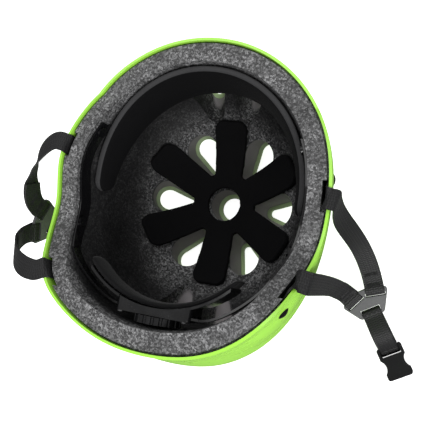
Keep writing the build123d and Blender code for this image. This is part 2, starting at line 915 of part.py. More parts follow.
def strap_end(place, end):
    """Point and directions where a strap meets its fold; end 1 is the front strap."""
    local = slot_spot(place, end) * Pos(0, -(divider_slot + divider_bar) / 2)
    frame = divider_frame(place)
    location = frame.location * local
    start = location * Pos(0, -(divider_bar / 2 + loop_clearance + webbing / 2))
    plane = Plane(start)
    return start.position, plane.x_dir, location


def swing_line(side):
    """Line that one side's straps swing about: its front and rear points."""
    lift = exit_lift + webbing / 2 + swing_play
    points = []
    for y in strap_exits(side):
        points.append(rim_frame(side, y).from_local_coords(Vector(exit_reach, lift, 0)))
    return points


def swing_frame(side):
    """Plane on the swing line with +X along it towards the front and +Z outwards."""
    front, rear = swing_line(side)
    along = (front - rear).normalized()
    out = Vector(side, 0, 0)
    out = out - along * out.dot(along)
    return Plane(origin=(front + rear) / 2, x_dir=along, z_dir=out)


def strap(place, end):
    """Webbing from the rim to the divider, with its fold."""
    front, rear = swing_line(place.side)
    frame = swing_frame(place.side)
    down = Vector(0, 0, webbing / 2 + swing_play)
    start = (front if end > 0 else rear) + frame.z_dir * (swing_clearance + webbing / 2) - down
    finish, finish_across, fold_place = strap_end(place, end)
    if frame.x_dir.dot(finish_across) < 0:
        finish_across = -finish_across
    near = start + (place.front_leave if end > 0 else place.rear_leave)
    arrive = place.arrive[0 if end > 0 else 1] * rim_half_width
    far = finish - Plane(fold_place).y_dir * arrive
    size = (webbing_width, webbing)
    run = ribbon((start, near, far, finish), (frame.x_dir, finish_across), (size, size), strap_stations)
    return run + fold_place * fold(divider_bar / 2, divider_thickness / 2, webbing_width)


def chin_loop(length, arch):
    """Closed webbing loop along +Y round two bars, with one strand arched up by an arch."""
    half = chin_bar_radius + loop_clearance
    inner = Pos(length / 2, 0) * SlotCenterToCenter(length, 2 * half)
    if arch > 0:
        bow = ThreePointArc((0, 0), (length / 2, half + arch), (length, 0))
        inner += make_face(bow + Line((length, 0), (0, 0)))
    outer = offset(inner, webbing)
    return extrude(Plane.YZ * (outer - inner), webbing_width / 2, both=True)


def buckle_end(length):
    """Half of a buckle seen from above: its round bar at Y zero, its other end at +Y."""
    body = Pos(0, -buckle_cheek) * RectangleRounded(
        buckle_width, length, buckle_corner, align=(Align.CENTER, Align.MIN)
    )
    slot_end = chin_bar_radius + buckle_slot
    opening = Rectangle(webbing_width + slot_margin, slot_end + overrun, align=(Align.CENTER, Align.MAX))
    return body - Pos(0, slot_end) * opening


def socket_body():
    """Socket half: hollow, open at its mouth and at both side windows."""
    outline = buckle_end(buckle_length)
    waist_x = buckle_width / 2 - buckle_waist + buckle_waist_radius
    waist_y = chin_bar_radius + buckle_slot + buckle_waist_radius
    for side in (1, -1):
        outline -= Pos(side * waist_x, waist_y) * Circle(buckle_waist_radius)
    block = extrude(outline, buckle_thickness / 2, both=True) + chin_bar()
    end = buckle_length - buckle_cheek
    mouth = Pos(0, end + overrun) * Box(
        buckle_mouth_width,
        buckle_mouth_depth + overrun,
        buckle_mouth_height,
        align=(Align.CENTER, Align.MAX, Align.CENTER),
    )
    across = buckle_width + overrun
    forward = (Align.CENTER, Align.MIN, Align.CENTER)
    window = Box(across, buckle_window, buckle_mouth_height, align=forward)
    return block - mouth - Pos(0, end - buckle_mouth_depth) * window


def plug_body():
    """Plug with its bar end at Y zero and its guide tongue towards +Y."""
    block = extrude(buckle_end(plug_base), plug_thickness / 2, both=True) + chin_bar()
    tongue = Pos(0, plug_base - buckle_cheek) * Rectangle(
        tongue_width, tongue_length, align=(Align.CENTER, Align.MIN)
    )
    return block + extrude(tongue, tongue_thickness / 2, both=True)


def prong(side):
    """One side arm with its barb, beside the tongue."""
    root = plug_base - buckle_cheek + prong_gap
    outer = buckle_mouth_width / 2 - prong_gap
    tip = root + prong_length
    barb = outer + prong_barb
    outline = Polygon(
        (outer - prong_width, root),
        (outer, root),
        (outer, tip - prong_barb_length),
        (barb, tip - prong_barb_length),
        (outer - prong_width / 2, tip),
        (outer - prong_width, tip),
        align=None,
    )
    arm = extrude(outline, prong_thickness / 2, both=True)
    return arm if side > 0 else mirror(arm, Plane.YZ)


def sleeve(length, wall, share, run):
    """Small rectangular sleeve round both strands of a chin loop."""
    strand = chin_bar_radius + loop_clearance + webbing + 2 * loop_clearance
    inner = Rectangle(webbing_width + slot_margin, 2 * strand)
    outer = RectangleRounded(webbing_width + slot_margin + 2 * wall, 2 * (strand + wall), wall)
    ring_part = extrude(Plane.XZ * (outer - inner), length / 2, both=True)
    return Pos(0, run * share, 0) * ring_part


def chin_frame(place, run_dir):
    """Frame at the divider's chin bar: X along the bar, Y along the run."""
    frame = divider_frame(place)
    origin = frame.from_local_coords(Vector(0, divider_chin_bar_y, 0))
    across = frame.x_dir
    run = (run_dir - across * run_dir.dot(across)).normalized()
    return Plane(origin=origin, x_dir=across, z_dir=across.cross(run))


def left_chin_frame():
    """The left loop runs from the divider down to the socket on the floor."""
    frame = chin_frame(left, left.chin)
    drop = frame.origin.Z - buckle_thickness / 2
    flat = Vector(left.chin.X, left.chin.Y, 0)
    across = frame.x_dir
    flat = (flat - across * flat.dot(across)).normalized()
    run = flat * sqrt(left_run**2 - drop**2) - Vector(0, 0, drop)
    return chin_frame(left, run)


def left_socket_frame():
    loop = left_chin_frame()
    origin = loop.from_local_coords(Vector(0, left_run, 0))
    across = loop.x_dir
    flat = Vector(loop.y_dir.X, loop.y_dir.Y, 0)
    flat = flat - across * flat.dot(across)
    return Plane(origin=origin, x_dir=across, z_dir=across.cross(flat))


def right_chin_frame():
    """The right loop hangs straight down from its divider."""
    return chin_frame(right, Vector(*right_hang))


def right_plug_frame():
    loop = right_chin_frame()
    return Plane(origin=loop.from_local_coords(Vector(0, right_run, 0)), x_dir=loop.x_dir, z_dir=loop.z_dir)


def save(name, shape):
    """Write one node; a list becomes a group of separate solids."""
    parts = shape if isinstance(shape, list) else [shape]
    solids = [solid for part in parts for solid in part.solids()]
    shape = solids[0] if len(solids) == 1 else Compound(solids)
    export_step(shape, f"parts/{name}.step")


def main():
    os.makedirs("parts", exist_ok=True)
    tabs = strap_tabs()
    left_loop = left_chin_frame()
    left_socket = left_socket_frame()
    right_loop = right_chin_frame()
    right_plug = right_plug_frame()
    nodes = {
        "outer_shell": outer_shell,
        "foam_liner": liner,
        "crown_pad": crown_pad,
        "brow_pad": brow_pad,
        "hook_dots": hook_dots,
        "strap_rivets": rivets,
        "rivet_washers": washers,
        "left_strap_tabs": lambda: tabs[:2],
        "right_strap_tabs": lambda: tabs[2:],
        "left_headband_strip": lambda: headband_strip(1),
        "right_headband_strip": lambda: headband_strip(-1),
        "headband_pins": pins,
        "rear_cradle": cradle,
        "cradle_lining": lining,
        "adjuster_cover": cover,
        "adjuster_screws": screws,
        "adjuster_dial": dial,
        "left_rack": lambda: rack(1),
        "right_rack": lambda: rack(-1),
        "left_front_strap": lambda: strap(left, 1),
        "left_rear_strap": lambda: strap(left, -1),
        "left_divider": lambda: divider(left),
        "left_chin_loop": lambda: left_loop * chin_loop(left_run, left_arch),
        "buckle_socket": lambda: left_socket * socket_body(),
        "right_front_strap": lambda: strap(right, 1),
        "right_rear_strap": lambda: strap(right, -1),
        "right_divider": lambda: divider(right),
        "right_chin_loop": lambda: right_loop * chin_loop(right_run, right_arch),
        "strap_keeper": lambda: right_loop * sleeve(keeper_length, keeper_wall, keeper_share, right_run),
        "buckle_plug": lambda: right_plug * plug_body(),
        "plug_front_prong": lambda: right_plug * prong(1),
        "plug_rear_prong": lambda: right_plug * prong(-1),
    }
    for name, make in nodes.items():
        save(name, make())


main()
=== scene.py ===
import json
import math

import bmesh
import bpy
import numpy as np
from bpy.props import FloatProperty, FloatVectorProperty, PointerProperty
from mathutils import Matrix, Vector


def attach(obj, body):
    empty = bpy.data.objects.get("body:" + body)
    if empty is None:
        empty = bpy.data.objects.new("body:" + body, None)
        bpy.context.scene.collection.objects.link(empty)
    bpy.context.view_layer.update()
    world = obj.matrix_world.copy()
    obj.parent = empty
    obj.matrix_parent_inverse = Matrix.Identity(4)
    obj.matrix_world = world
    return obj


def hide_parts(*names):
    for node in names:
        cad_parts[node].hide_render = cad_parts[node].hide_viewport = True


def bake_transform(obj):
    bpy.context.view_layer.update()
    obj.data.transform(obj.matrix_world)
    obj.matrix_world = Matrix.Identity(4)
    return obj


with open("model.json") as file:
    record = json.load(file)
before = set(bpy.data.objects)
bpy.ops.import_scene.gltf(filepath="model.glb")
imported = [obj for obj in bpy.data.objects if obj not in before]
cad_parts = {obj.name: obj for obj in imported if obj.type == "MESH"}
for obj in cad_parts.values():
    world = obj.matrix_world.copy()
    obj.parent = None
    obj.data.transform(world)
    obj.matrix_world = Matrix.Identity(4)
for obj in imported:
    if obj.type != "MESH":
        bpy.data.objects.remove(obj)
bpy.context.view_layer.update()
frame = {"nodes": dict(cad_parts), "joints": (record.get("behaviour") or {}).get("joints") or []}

bl_info = {
    "name": "Dome helmet looks",
    "version": (1, 0, 0),
    "blender": (4, 5, 0),
    "location": "3D View > Sidebar > Helmet",
    "description": "Finishes, comfort pads and webbing for an open dome helmet",
    "category": "Object",
}

MM = 0.001

# The inside of the liner, in millimetres
CAVITY_CROWN = 24.4
CAVITY_BELLY = 80.0
CAVITY_HALF_WIDTH = 79.5
CAVITY_FRONT = 92.0
CAVITY_REAR = 99.0
CAVITY_RIM_HALF_WIDTH = 88.5
CAVITY_RIM_FRONT = 95.0
CAVITY_RIM_REAR = 100.8
CAVITY_SIDE_RIM = 124.0
CAVITY_FRONT_RIM = 119.8
CAVITY_REAR_RIM = 149.7
CAVITY_CENTRE_Y = -2.3
DOME_POWER = 2.13
FRONT_POWER = 2.04
REAR_POWER = 2.21
SURFACE_STEP = 0.5
CAVITY_EDGE_SHARE = 0.999

# The outside of the shell
SHELL_BELLY = 72.4
SHELL_HALF_WIDTH = 97.4
SHELL_FRONT = 114.9
SHELL_REAR = 129.6
SHELL_RIM_HALF_WIDTH = 104.8
SHELL_RIM_FRONT = 112.4
SHELL_RIM_REAR = 118.9
TAB_DEPTH = 3.3

# The rim's height, in metres, from rear to front: its lowest height and a share of its rise at
# each share of the way
RIM_LOW = 0.1198
RIM_RISE = 0.0299
RIM_REAR_Y = -0.1189
RIM_FRONT_Y = 0.1124
RIM_LINE_SHARES = (
    (0.0, 0.8), (0.16, 1.0), (0.3, 0.44), (0.42, 0.06), (0.54, 0.25), (0.63, 0.19), (0.75, 0.0),
    (1.0, 0.0),
)

# Where one finish gives way to the next, and where painted light and painted shade come in, from
# and to, in metres
# Heights under which the shell's vent lips get painted light
VENT_LIP_PAINTED_LIGHT_TOP = (0.045, 0.05)
CHANNEL_TOP = (0.036, 0.039)
CHANNEL_UNDER_FLOOR = (0.0012, 0.0032)
# Depth under the rim line within which the liner's beads get painted light
RIM_PAINTED_LIGHT_BAND = (0.004, 0.016)
# Heights over which painted shade comes in up the liner's walls
WALL_PAINTED_SHADE_RAMP = (0.03, 0.056)
# Faces that get the vent lips' painted light; the same as the upward part of a surface's normal
INWARD_FACING = (-0.35, -0.2)

# Comfort pads. A section's corners get rounder as its two powers near 1
PAD_STAND_OFF = 1.3
PAD_UP_POWER = 0.32
PAD_OUT_POWER = 0.55
STAR_THICKNESS = 4.0
STAR_HUB_RADIUS = 28.0
STAR_HOLE_RADIUS = 14.5
STAR_ARMS = 6
STAR_FIRST_TURN = 30.0
STAR_ARM_REACH = 62.0
STAR_TIP_CORNER = 8.0
STAR_TIP_HALF_GAP = 6.5
STAR_ROOT = 27.0
STAR_ROOT_RADIUS = 12.4
STAR_VOXEL = 0.8
STAR_SWELL_EASE = 9.0
BROW_THICKNESS = 5.0
BROW_END_Y = -1.0
BROW_END_RADIUS = 9.0
BROW_END_HEIGHT = 97.0
BROW_TOP = 115.5
# Turns of the brow pad's section, its top, that wear the lighter cut edge with painted light from
# above
BROW_EDGE_TURNS = (48, 128)
BROW_BOTTOM = 72.0
BROW_STEPS = 180
BROW_SPACING_POWER = 0.9
BROW_CAP_HEIGHT = 0.05
BROW_CAP_THICKNESS = 0.2
LINING_RADIUS = 70.0
LINING_THICKNESS = 3.0
LINING_HEIGHT = 20.0
LINING_LEVEL = 128.0
LINING_CENTRE_Y = -16.0
LINING_HALF_WIDTH = 56.0
LINING_STEPS = 90
LINING_CORNER_SHARE = 0.08
LINING_END_HEIGHT = 0.55
LINING_END_THICKNESS = 0.4

# Webbing and what it runs round, in millimetres
TAB_INSET = 3.3
TAB_LIFT = 1.7
TAB_BEND = 1.4
TAB_TAIL = 9.0
TAB_POINTS = 14
TAB_END_SHARE = 0.94
AXIS_REACH = 3.6
AXIS_LIFT = 3.7
STRAP_OUT = 1.0
STRAP_DOWN = 2.0
CHIN_BAR_Y = 10.0
SLOT_INNER_X = 1.0
SLOT_HALF = 7.85
SLOT_Y = -6.0
SLOT_TURNS = {"front": 13.5, "rear": 21.5}
EAR_BAR_Y = -3.3
EAR_BAR_HALF = 1.5
BAR_GAP = 0.3
LAYER_GAP = 0.05
LAYER_LIFT = 2.5
LAYER_EASE = 12.0
RUN_POINTS = 60
FOLD_RETURN = 24.0
# Section of a strap's fold round an ear bar: where it meets the strap, where its flat starts and
# ends, and its far corner, whose height is a share of the flat's
FOLD_MEETS = (-3.2, 1.7)
FOLD_FLAT = (-1.6, 1.0)
FOLD_CORNER = 0.5
FOLD_CORNER_SHARE = 0.62
# Points of each layer that make way for the fold
FOLD_POINTS_GIVEN = 4
# Share of a strap's length after which its width turns to the divider's
TURN_FROM = 0.2
LOOP_RADIUS = 2.5
LOOP_SLACK = 1.6
BUCKLE_SLACK = 2.2
FOLD_SLACK = 2.4
HINGE_STEPS = 5
STEP = 1.0
CHIN_ARCH = {"left": 9.0, "right": 0.0}
CHIN_ARCH_POWER = 1.2
# Bar tacks: how many points before a strap's end they lie, and their size
TACK_PLACES = (14, 22)
TACK_WIDTH = 10.0
TACK_DEPTH = 2.6
TACK_ROWS = 11
TACK_TWIN_MARGIN = 8
THREAD_LIFT = 0.4

# The stage: place, size and the floor's level, in metres
KEY_PLACE, KEY_SIZE = (-0.35, 0.5, 1.5), 1.3
FILL_PLACE, FILL_SIZE = (0.9, -1.0, 0.9), 1.0
FLOOR_LEVEL = -0.0003
FLOOR_GLOW = 0.82


def colour_property(name, description, default):
    return FloatVectorProperty(
        name=name, description=description, subtype="COLOR", size=3, default=default
    )


def length_property(name, description, default):
    return FloatProperty(name=name, description=description, unit="LENGTH", default=default)


def power_property(name, description, default):
    return FloatProperty(name=name, description=description, unit="POWER", default=default)


def direction_property(name, description, default):
    return FloatVectorProperty(
        name=name, description=description, subtype="DIRECTION", size=3, default=default
    )


class HelmetFinish(bpy.types.PropertyGroup):
    """Colours and surface sizes that a user may change."""

    shell_colour: colour_property("Shell", "Colour of the outer shell", (0.352, 0.745, 0.07))
    shell_roughness: FloatProperty(
        name="Shell roughness", description="Roughness of the moulded shell", subtype="FACTOR",
        default=0.28,
    )
    # Painted light: the vent lips' paler, greyer green stands in for light that reaches them
    vent_lip_painted_light: colour_property(
        "Vent lips", "Colour of the shell's unpolished inside at its vents", (0.46, 0.62, 0.32)
    )
    foam_dark: colour_property("Foam, dark", "Darkest beads of the liner", (0.004, 0.004, 0.0045))
    foam_light: colour_property("Foam, light", "Lightest beads of the liner", (0.34, 0.34, 0.343))
    # Smooth foam of the vent channels, its own colour made brighter and tinted against green:
    # painted light coming in through the vents
    channel_foam_and_painted_light: colour_property(
        "Vent channels", "Colour of the smooth foam behind the vents", (0.3, 0.28, 0.29)
    )
    # Painted light on the liner's rim: its beads lighter than the walls' where the rim meets the
    # light
    rim_painted_light: colour_property("Foam rim", "Lightest beads of the rim", (0.3, 0.3, 0.305))
    bead_size: length_property("Bead", "Size of one foam bead", 0.0014)
    pad_colour: colour_property("Pads", "Colour of the comfort pads", (0.003, 0.003, 0.0033))
    # The brow pad's top edge: its cut foam edge, made lighter, partly with painted light from above
    cut_edge_and_painted_light: colour_property(
        "Pad edges", "Colour of the brow pad's cut edge", (0.026, 0.026, 0.027)
    )
    webbing_colour: colour_property("Webbing", "Colour of the straps", (0.0085, 0.0085, 0.009))
    rib_pitch: length_property("Rib pitch", "From one webbing rib to the next", 0.0017)
    plastic_colour: colour_property(
        "Black plastic", "Colour of the racks, the keeper and the hook dots", (0.009, 0.009, 0.0095)
    )
    divider_colour: colour_property(
        "Dividers", "Colour of the strap dividers", (0.075, 0.075, 0.078)
    )
    gloss_colour: colour_property(
        "Glossy plastic", "Colour of the cradle, the strips, the dial and the buckle",
        (0.004, 0.004, 0.0045),
    )
    rivet_colour: colour_property("Rivets", "Colour of rivets and washers", (0.03, 0.03, 0.032))
    screw_colour: colour_property("Screws", "Colour of the screws", (0.09, 0.09, 0.092))


class HelmetSizes(bpy.types.PropertyGroup):
    """Sizes of the soft pieces."""

    webbing_width: length_property("Webbing width", "Width of every strap", 0.015)
    webbing_thickness: length_property("Webbing thickness", "Thickness of one layer", 0.0014)
    pad_crown: length_property("Pad crown", "How far a pad swells in its middle", 0.0009)
    stitch_length: length_property("Stitch", "Length of one stitch", 0.0016)
    thread_radius: length_property("Thread", "Radius of the sewing thread", 0.00022)


class HelmetStage(bpy.types.PropertyGroup):
    """Where the camera stands and how the light falls."""

    camera_place: FloatVectorProperty(
        name="Camera", description="Where the camera stands", subtype="XYZ", size=3,
        unit="LENGTH", default=(0.1667, -0.0608, 0.5132),
    )
    camera_look: direction_property(
        "Look", "Direction that the camera looks in", (-0.336, 0.098, -0.937)
    )
    camera_up: direction_property(
        "Up", "Direction of the picture's top", (-0.123, 0.982, 0.146)
    )
    lens: FloatProperty(name="Lens", description="Focal length in millimetres", default=50.23)
    floor_half: length_property("Floor", "Half the floor's side", 3.0)
    key_power: power_property("Key light", "Power of the large lamp", 8.0)
    fill_power: power_property("Fill light", "Power of the low lamp", 20.0)
    world_level: FloatProperty(
        name="Room light", description="Light from all round", default=0.62
    )
    room_mirror: FloatProperty(
        name="Room mirrored", description="Share of it that gloss shows", default=0.8
    )
    floor_mirror: FloatProperty(
        name="Floor mirrored", description="Floor's whiteness in gloss", default=0.12
    )


# Node trees

class Graph:
    """Adds nodes to one tree. An input takes a plain value or another node's output."""

    def __init__(self, tree):
        self.tree = tree

    def add(self, kind, inputs=None, **settings):
        node = self.tree.nodes.new(kind)
        for name, value in settings.items():
            setattr(node, name, value)
        return self.feed(node, inputs or {})

    def feed(self, node, inputs):
        """Sets or links inputs of a node that is there already."""
        for key, value in inputs.items():
            if isinstance(value, bpy.types.NodeSocket):
                self.tree.links.new(value, node.inputs[key])
            else:
                node.inputs[key].default_value = value
        return node

    def effect(self, name, maker, inputs):
        """Outputs of a shared shader group, built once and placed with this material's values."""
        tree = bpy.data.node_groups.get(name) or maker()
        return self.add("ShaderNodeGroup", inputs, node_tree=tree).outputs

    def math(self, operation, first, second=0.0, third=0.0):
        inputs = {0: first, 1: second, 2: third}
        return self.add("ShaderNodeMath", inputs, operation=operation).outputs[0]

    def remap(self, value, low, high, to_low=0.0, to_high=1.0, steps="SMOOTHSTEP"):
        inputs = {
            "Value": value, "From Min": low, "From Max": high, "To Min": to_low, "To Max": to_high
        }
        return self.add("ShaderNodeMapRange", inputs, interpolation_type=steps).outputs["Result"]

    def mix(self, factor, first, second):
        inputs = {0: factor, 6: first, 7: second}
        return self.add("ShaderNodeMix", inputs, data_type="RGBA").outputs[2]

    def noise(self, vector, scale, detail=2.0, roughness=0.5):
        inputs = {"Vector": vector, "Scale": scale, "Detail": detail, "Roughness": roughness}
        return self.add("ShaderNodeTexNoise", inputs).outputs["Fac"]

    def place(self):
        return self.add("ShaderNodeTexCoord").outputs["Object"]

    def split(self, vector):
        return self.add("ShaderNodeSeparateXYZ", {0: vector}).outputs


def effect_group(name, inputs, outputs):
    """A new shader group with named inputs (label, kind, value) and outputs (label, kind)."""
    tree = bpy.data.node_groups.new(name, "ShaderNodeTree")
    for label, kind, value in inputs:
        socket = tree.interface.new_socket(label, in_out="INPUT", socket_type=kind)
        if value is not None:
            socket.default_value = value
    for label, kind in outputs:
        tree.interface.new_socket(label, in_out="OUTPUT", socket_type=kind)
    graph = Graph(tree)
    return graph, graph.add("NodeGroupInput").outputs, graph.add("NodeGroupOutput")


def bead_group():
    """Fused foam beads: a shade for each bead and the seams between them."""
    graph, given, result = effect_group(
        "bead_cells",
        [("Vector", "NodeSocketVector", None), ("Bead Size", "NodeSocketFloat", 0.0017)],
        [("Shade", "NodeSocketFloat"), ("Height", "NodeSocketFloat")],
    )
    scale = graph.math("DIVIDE", 1.0, given["Bead Size"])
    bead = graph.add("ShaderNodeTexVoronoi", {"Vector": given["Vector"], "Scale": scale})
    shade = graph.split(bead.outputs["Color"])[0]
    finer = graph.math("MULTIPLY", scale, 1.9)
    fine = graph.add("ShaderNodeTexVoronoi", {"Vector": given["Vector"], "Scale": finer})
    fleck = graph.split(fine.outputs["Color"])[1]
    mixed = graph.math("MULTIPLY_ADD", shade, 0.55, graph.math("MULTIPLY", fleck, 0.45))
    drift = graph.noise(given["Vector"], 55.0, 3.0)
    cloud = graph.remap(drift, 0.3, 0.7, 0.75, 1.5)
    lifted = graph.math("MULTIPLY", graph.math("POWER", mixed, 2.4), cloud)
    seams = graph.math("MULTIPLY", bead.outputs["Distance"], -1.0)
    graph.feed(result, {"Shade": lifted, "Height": seams})
    return graph.tree


def rib_group():
    """Woven ribs across a strap, in metres along its own length and width; their shade is painted
    shade in the grooves and painted light on the rib tops.
    """
    graph, given, result = effect_group(
        "webbing_ribs",
        [("Vector", "NodeSocketVector", None), ("Pitch", "NodeSocketFloat", 0.0011),
         ("Width", "NodeSocketFloat", 0.015)],
        [("Height", "NodeSocketFloat"), ("Shade", "NodeSocketFloat")],
    )
    across, along, _ = graph.split(given["Vector"])
    turns = graph.math("DIVIDE", along, given["Pitch"])
    column = graph.math("MULTIPLY", graph.math("DIVIDE", across, given["Pitch"]), 0.9)
    herring = graph.math("MULTIPLY", graph.math("PINGPONG", column, 1.0), 0.35)
    phase = graph.math("MULTIPLY", graph.math("ADD", turns, herring), math.tau)
    rib = graph.math("SINE", phase)
    yarn = graph.math("SINE", graph.math("MULTIPLY", column, math.tau))
    woven = graph.math("MULTIPLY_ADD", rib, 0.5, graph.math("MULTIPLY", yarn, 0.25))
    edge = graph.math("DIVIDE", graph.math("ABSOLUTE", across), given["Width"])
    selvedge = graph.remap(edge, 0.43, 0.475)
    height = graph.math("MULTIPLY_ADD", woven, graph.math("SUBTRACT", 1.0, selvedge), selvedge)
    # Painted shade and painted light: darker in the grooves between the ribs, lighter on their tops
    shade = graph.remap(woven, -0.6, 0.6, 0.3, 1.6, "LINEAR")
    graph.feed(result, {"Height": height, "Shade": shade})
    return graph.tree


def nap_group():
    """Brushed cloth: short fibres over a fine knit."""
    graph, given, result = effect_group(
        "cloth_nap",
        [("Vector", "NodeSocketVector", None), ("Fibre", "NodeSocketFloat", 0.0006)],
        [("Height", "NodeSocketFloat"), ("Shade", "NodeSocketFloat")],
    )
    scale = graph.math("DIVIDE", 1.0, given["Fibre"])
    fibre = graph.noise(given["Vector"], scale, 4.0, 0.7)
    cloud = graph.noise(given["Vector"], graph.math("MULTIPLY", scale, 0.03), 3.0, 0.6)
    tuft = graph.remap(fibre, 0.3, 0.7, 0.7, 1.35, "LINEAR")
    shade = graph.math("MULTIPLY", tuft, graph.remap(cloud, 0.35, 0.65, 0.85, 1.2))
    graph.feed(result, {"Height": fibre, "Shade": shade})
    return graph.tree


def grain_group():
    """Moulded plastic: a fine grain, and the smears that handling leaves."""
    graph, given, result = effect_group(
        "moulded_grain",
        [("Vector", "NodeSocketVector", None), ("Grain", "NodeSocketFloat", 0.0008),
         ("Roughness", "NodeSocketFloat", 0.4), ("Smear", "NodeSocketFloat", 0.1)],
        [("Height", "NodeSocketFloat"), ("Roughness", "NodeSocketFloat"),
         ("Dust", "NodeSocketFloat")],
    )
    scale = graph.math("DIVIDE", 1.0, given["Grain"])
    grain = graph.noise(given["Vector"], scale, 2.0)
    smear = graph.noise(given["Vector"], 38.0, 5.0, 0.65)
    spread = graph.math("MULTIPLY", graph.remap(smear, 0.3, 0.7, -1.0, 1.0), given["Smear"])
    dust = graph.remap(graph.noise(given["Vector"], 900.0, 2.0), 0.68, 0.8)
    roughness = graph.math("ADD", given["Roughness"], spread)
    graph.feed(result, {"Height": grain, "Roughness": roughness, "Dust": dust})
    return graph.tree


# Materials

def rgba(colour):
    """The colour with full cover."""
    return (*colour, 1.0)


def scaled(colour, share):
    """The colour made darker or lighter, with full cover."""
    return (*(part * share for part in colour), 1.0)


def new_material(name, constants=None):
    """A material with one Principled shader, its graph and the shader."""
    material = bpy.data.materials.new(name)
    material.use_nodes = True
    material.node_tree.nodes.clear()
    graph = Graph(material.node_tree)
    shader = graph.add("ShaderNodeBsdfPrincipled", constants)
    graph.add("ShaderNodeOutputMaterial", {"Surface": shader.outputs[0]})
    return material, graph, shader


def finish_shader(graph, shader, colour, roughness, height, distance, strength):
    """Links the colour, the roughness and a bump of the given height to the shader."""
    inputs = {"Height": height, "Distance": distance, "Strength": strength}
    normal = graph.add("ShaderNodeBump", inputs).outputs[0]
    graph.feed(shader, {"Base Color": colour, "Roughness": roughness, "Normal": normal})


def shell_material(finish):
    """Glossy moulded shell, with painted light on the vent lips, a paler and greyer green."""
    material, graph, shader = new_material(
        "glossy_shell", {"Coat Weight": 0.12, "Coat Roughness": 0.08, "Specular IOR Level": 0.4}
    )
    place = graph.place()
    skin = graph.effect("moulded_grain", grain_group, {
        "Vector": place, "Grain": 0.006, "Roughness": finish.shell_roughness, "Smear": 0.04,
    })
    drift = graph.remap(graph.noise(place, 14.0, 2.0), 0.3, 0.7)
    moulded = graph.mix(drift, scaled(finish.shell_colour, 0.97), scaled(finish.shell_colour, 1.03))
    _, _, height = graph.split(place)
    _, _, facing = graph.split(graph.add("ShaderNodeTexCoord").outputs["Normal"])
    # Painted light on the vent lips: low on the shell, faces that don't face the floor get a paler,
    # greyer green
    low = graph.remap(height, *VENT_LIP_PAINTED_LIGHT_TOP, 1.0, 0.0)
    inside = graph.math("MULTIPLY", graph.remap(facing, *INWARD_FACING), low)
    colour = graph.mix(inside, moulded, rgba(finish.vent_lip_painted_light))
    finish_shader(graph, shader, colour, skin["Roughness"], skin["Height"], 0.00004, 0.3)
    return material


def channel_mask(graph, place):
    """1 inside the channels that run from the liner's inside to the shell's vents, else 0."""
    across, along, height = graph.split(place)
    along = graph.math("ADD", along, -CAVITY_CENTRE_Y * MM)
    forward = graph.math("GREATER_THAN", along, 0.0)
    length = graph.math(
        "MULTIPLY_ADD", forward, (CAVITY_FRONT - CAVITY_REAR) * MM, CAVITY_REAR * MM
    )
    power = graph.math("MULTIPLY_ADD", forward, FRONT_POWER - REAR_POWER, REAR_POWER)

    def share_of(part, whole):
        share = graph.math("ABSOLUTE", graph.math("DIVIDE", part, whole))
        return graph.math("POWER", share, power)

    both = graph.math("ADD", share_of(across, CAVITY_HALF_WIDTH * MM), share_of(along, length))
    share = graph.math("POWER", both, graph.math("DIVIDE", 1.0, power))
    share = graph.math("MINIMUM", share, CAVITY_EDGE_SHARE)
    left = graph.math("SUBTRACT", 1.0, graph.math("POWER", share, DOME_POWER))
    drop = graph.math("POWER", left, 1 / DOME_POWER)
    floor = graph.math(
        "MULTIPLY_ADD", drop, (CAVITY_CROWN - CAVITY_BELLY) * MM, CAVITY_BELLY * MM
    )
    under = graph.remap(graph.math("SUBTRACT", floor, height), *CHANNEL_UNDER_FLOOR)
    return graph.math("MULTIPLY", under, graph.remap(height, *CHANNEL_TOP, 1.0, 0.0))


def foam_material(finish):
    """Bead foam, with painted light along the rim, painted shade up the cavity walls, and smooth
    vent-channel foam made brighter with painted light.
    """
    material, graph, shader = new_material("bead_foam_moulded", {"Specular IOR Level": 0.35})
    place = graph.place()
    beads = graph.effect("bead_cells", bead_group, {"Vector": place, "Bead Size": finish.bead_size})
    _, along, height = graph.split(place)
    share = graph.remap(along, RIM_REAR_Y, RIM_FRONT_Y, steps="LINEAR")
    line = graph.add("ShaderNodeFloatCurve", {"Value": share})
    curve = line.mapping.curves[0]
    curve.points[0].location = RIM_LINE_SHARES[0]
    curve.points[-1].location = RIM_LINE_SHARES[-1]
    for point in RIM_LINE_SHARES[1:-1]:
        curve.points.new(*point)
    line.mapping.update()
    rim = graph.math("MULTIPLY_ADD", line.outputs[0], RIM_RISE, RIM_LOW)
    # Painted light along the rim: in the band under the rim line, light and dark beads both turn
    # lighter
    near = graph.remap(graph.math("SUBTRACT", rim, height), *RIM_PAINTED_LIGHT_BAND, 1.0, 0.0)
    # Painted shade up the cavity walls: above the crown, the light beads fall to 0.12 of their
    # colour
    crown = graph.remap(height, *WALL_PAINTED_SHADE_RAMP, 1.0, 0.0)
    inside = graph.mix(crown, scaled(finish.foam_light, 0.12), rgba(finish.foam_light))
    light = graph.mix(near, inside, rgba(finish.rim_painted_light))
    dark = graph.mix(near, rgba(finish.foam_dark), scaled(finish.rim_painted_light, 0.1))
    beaded = graph.mix(beads["Shade"], dark, light)
    # The channels' smooth foam, with a brighter, tinted colour that is painted light through the
    # vents
    channel = channel_mask(graph, place)
    colour = graph.mix(channel, beaded, rgba(finish.channel_foam_and_painted_light))
    roughness = graph.remap(beads["Shade"], 0.0, 1.0, 0.62, 0.5, "LINEAR")
    relief = graph.math("MULTIPLY", beads["Height"], graph.math("SUBTRACT", 1.0, channel))
    finish_shader(graph, shader, colour, roughness, relief, 0.0004, 0.6)
    return material


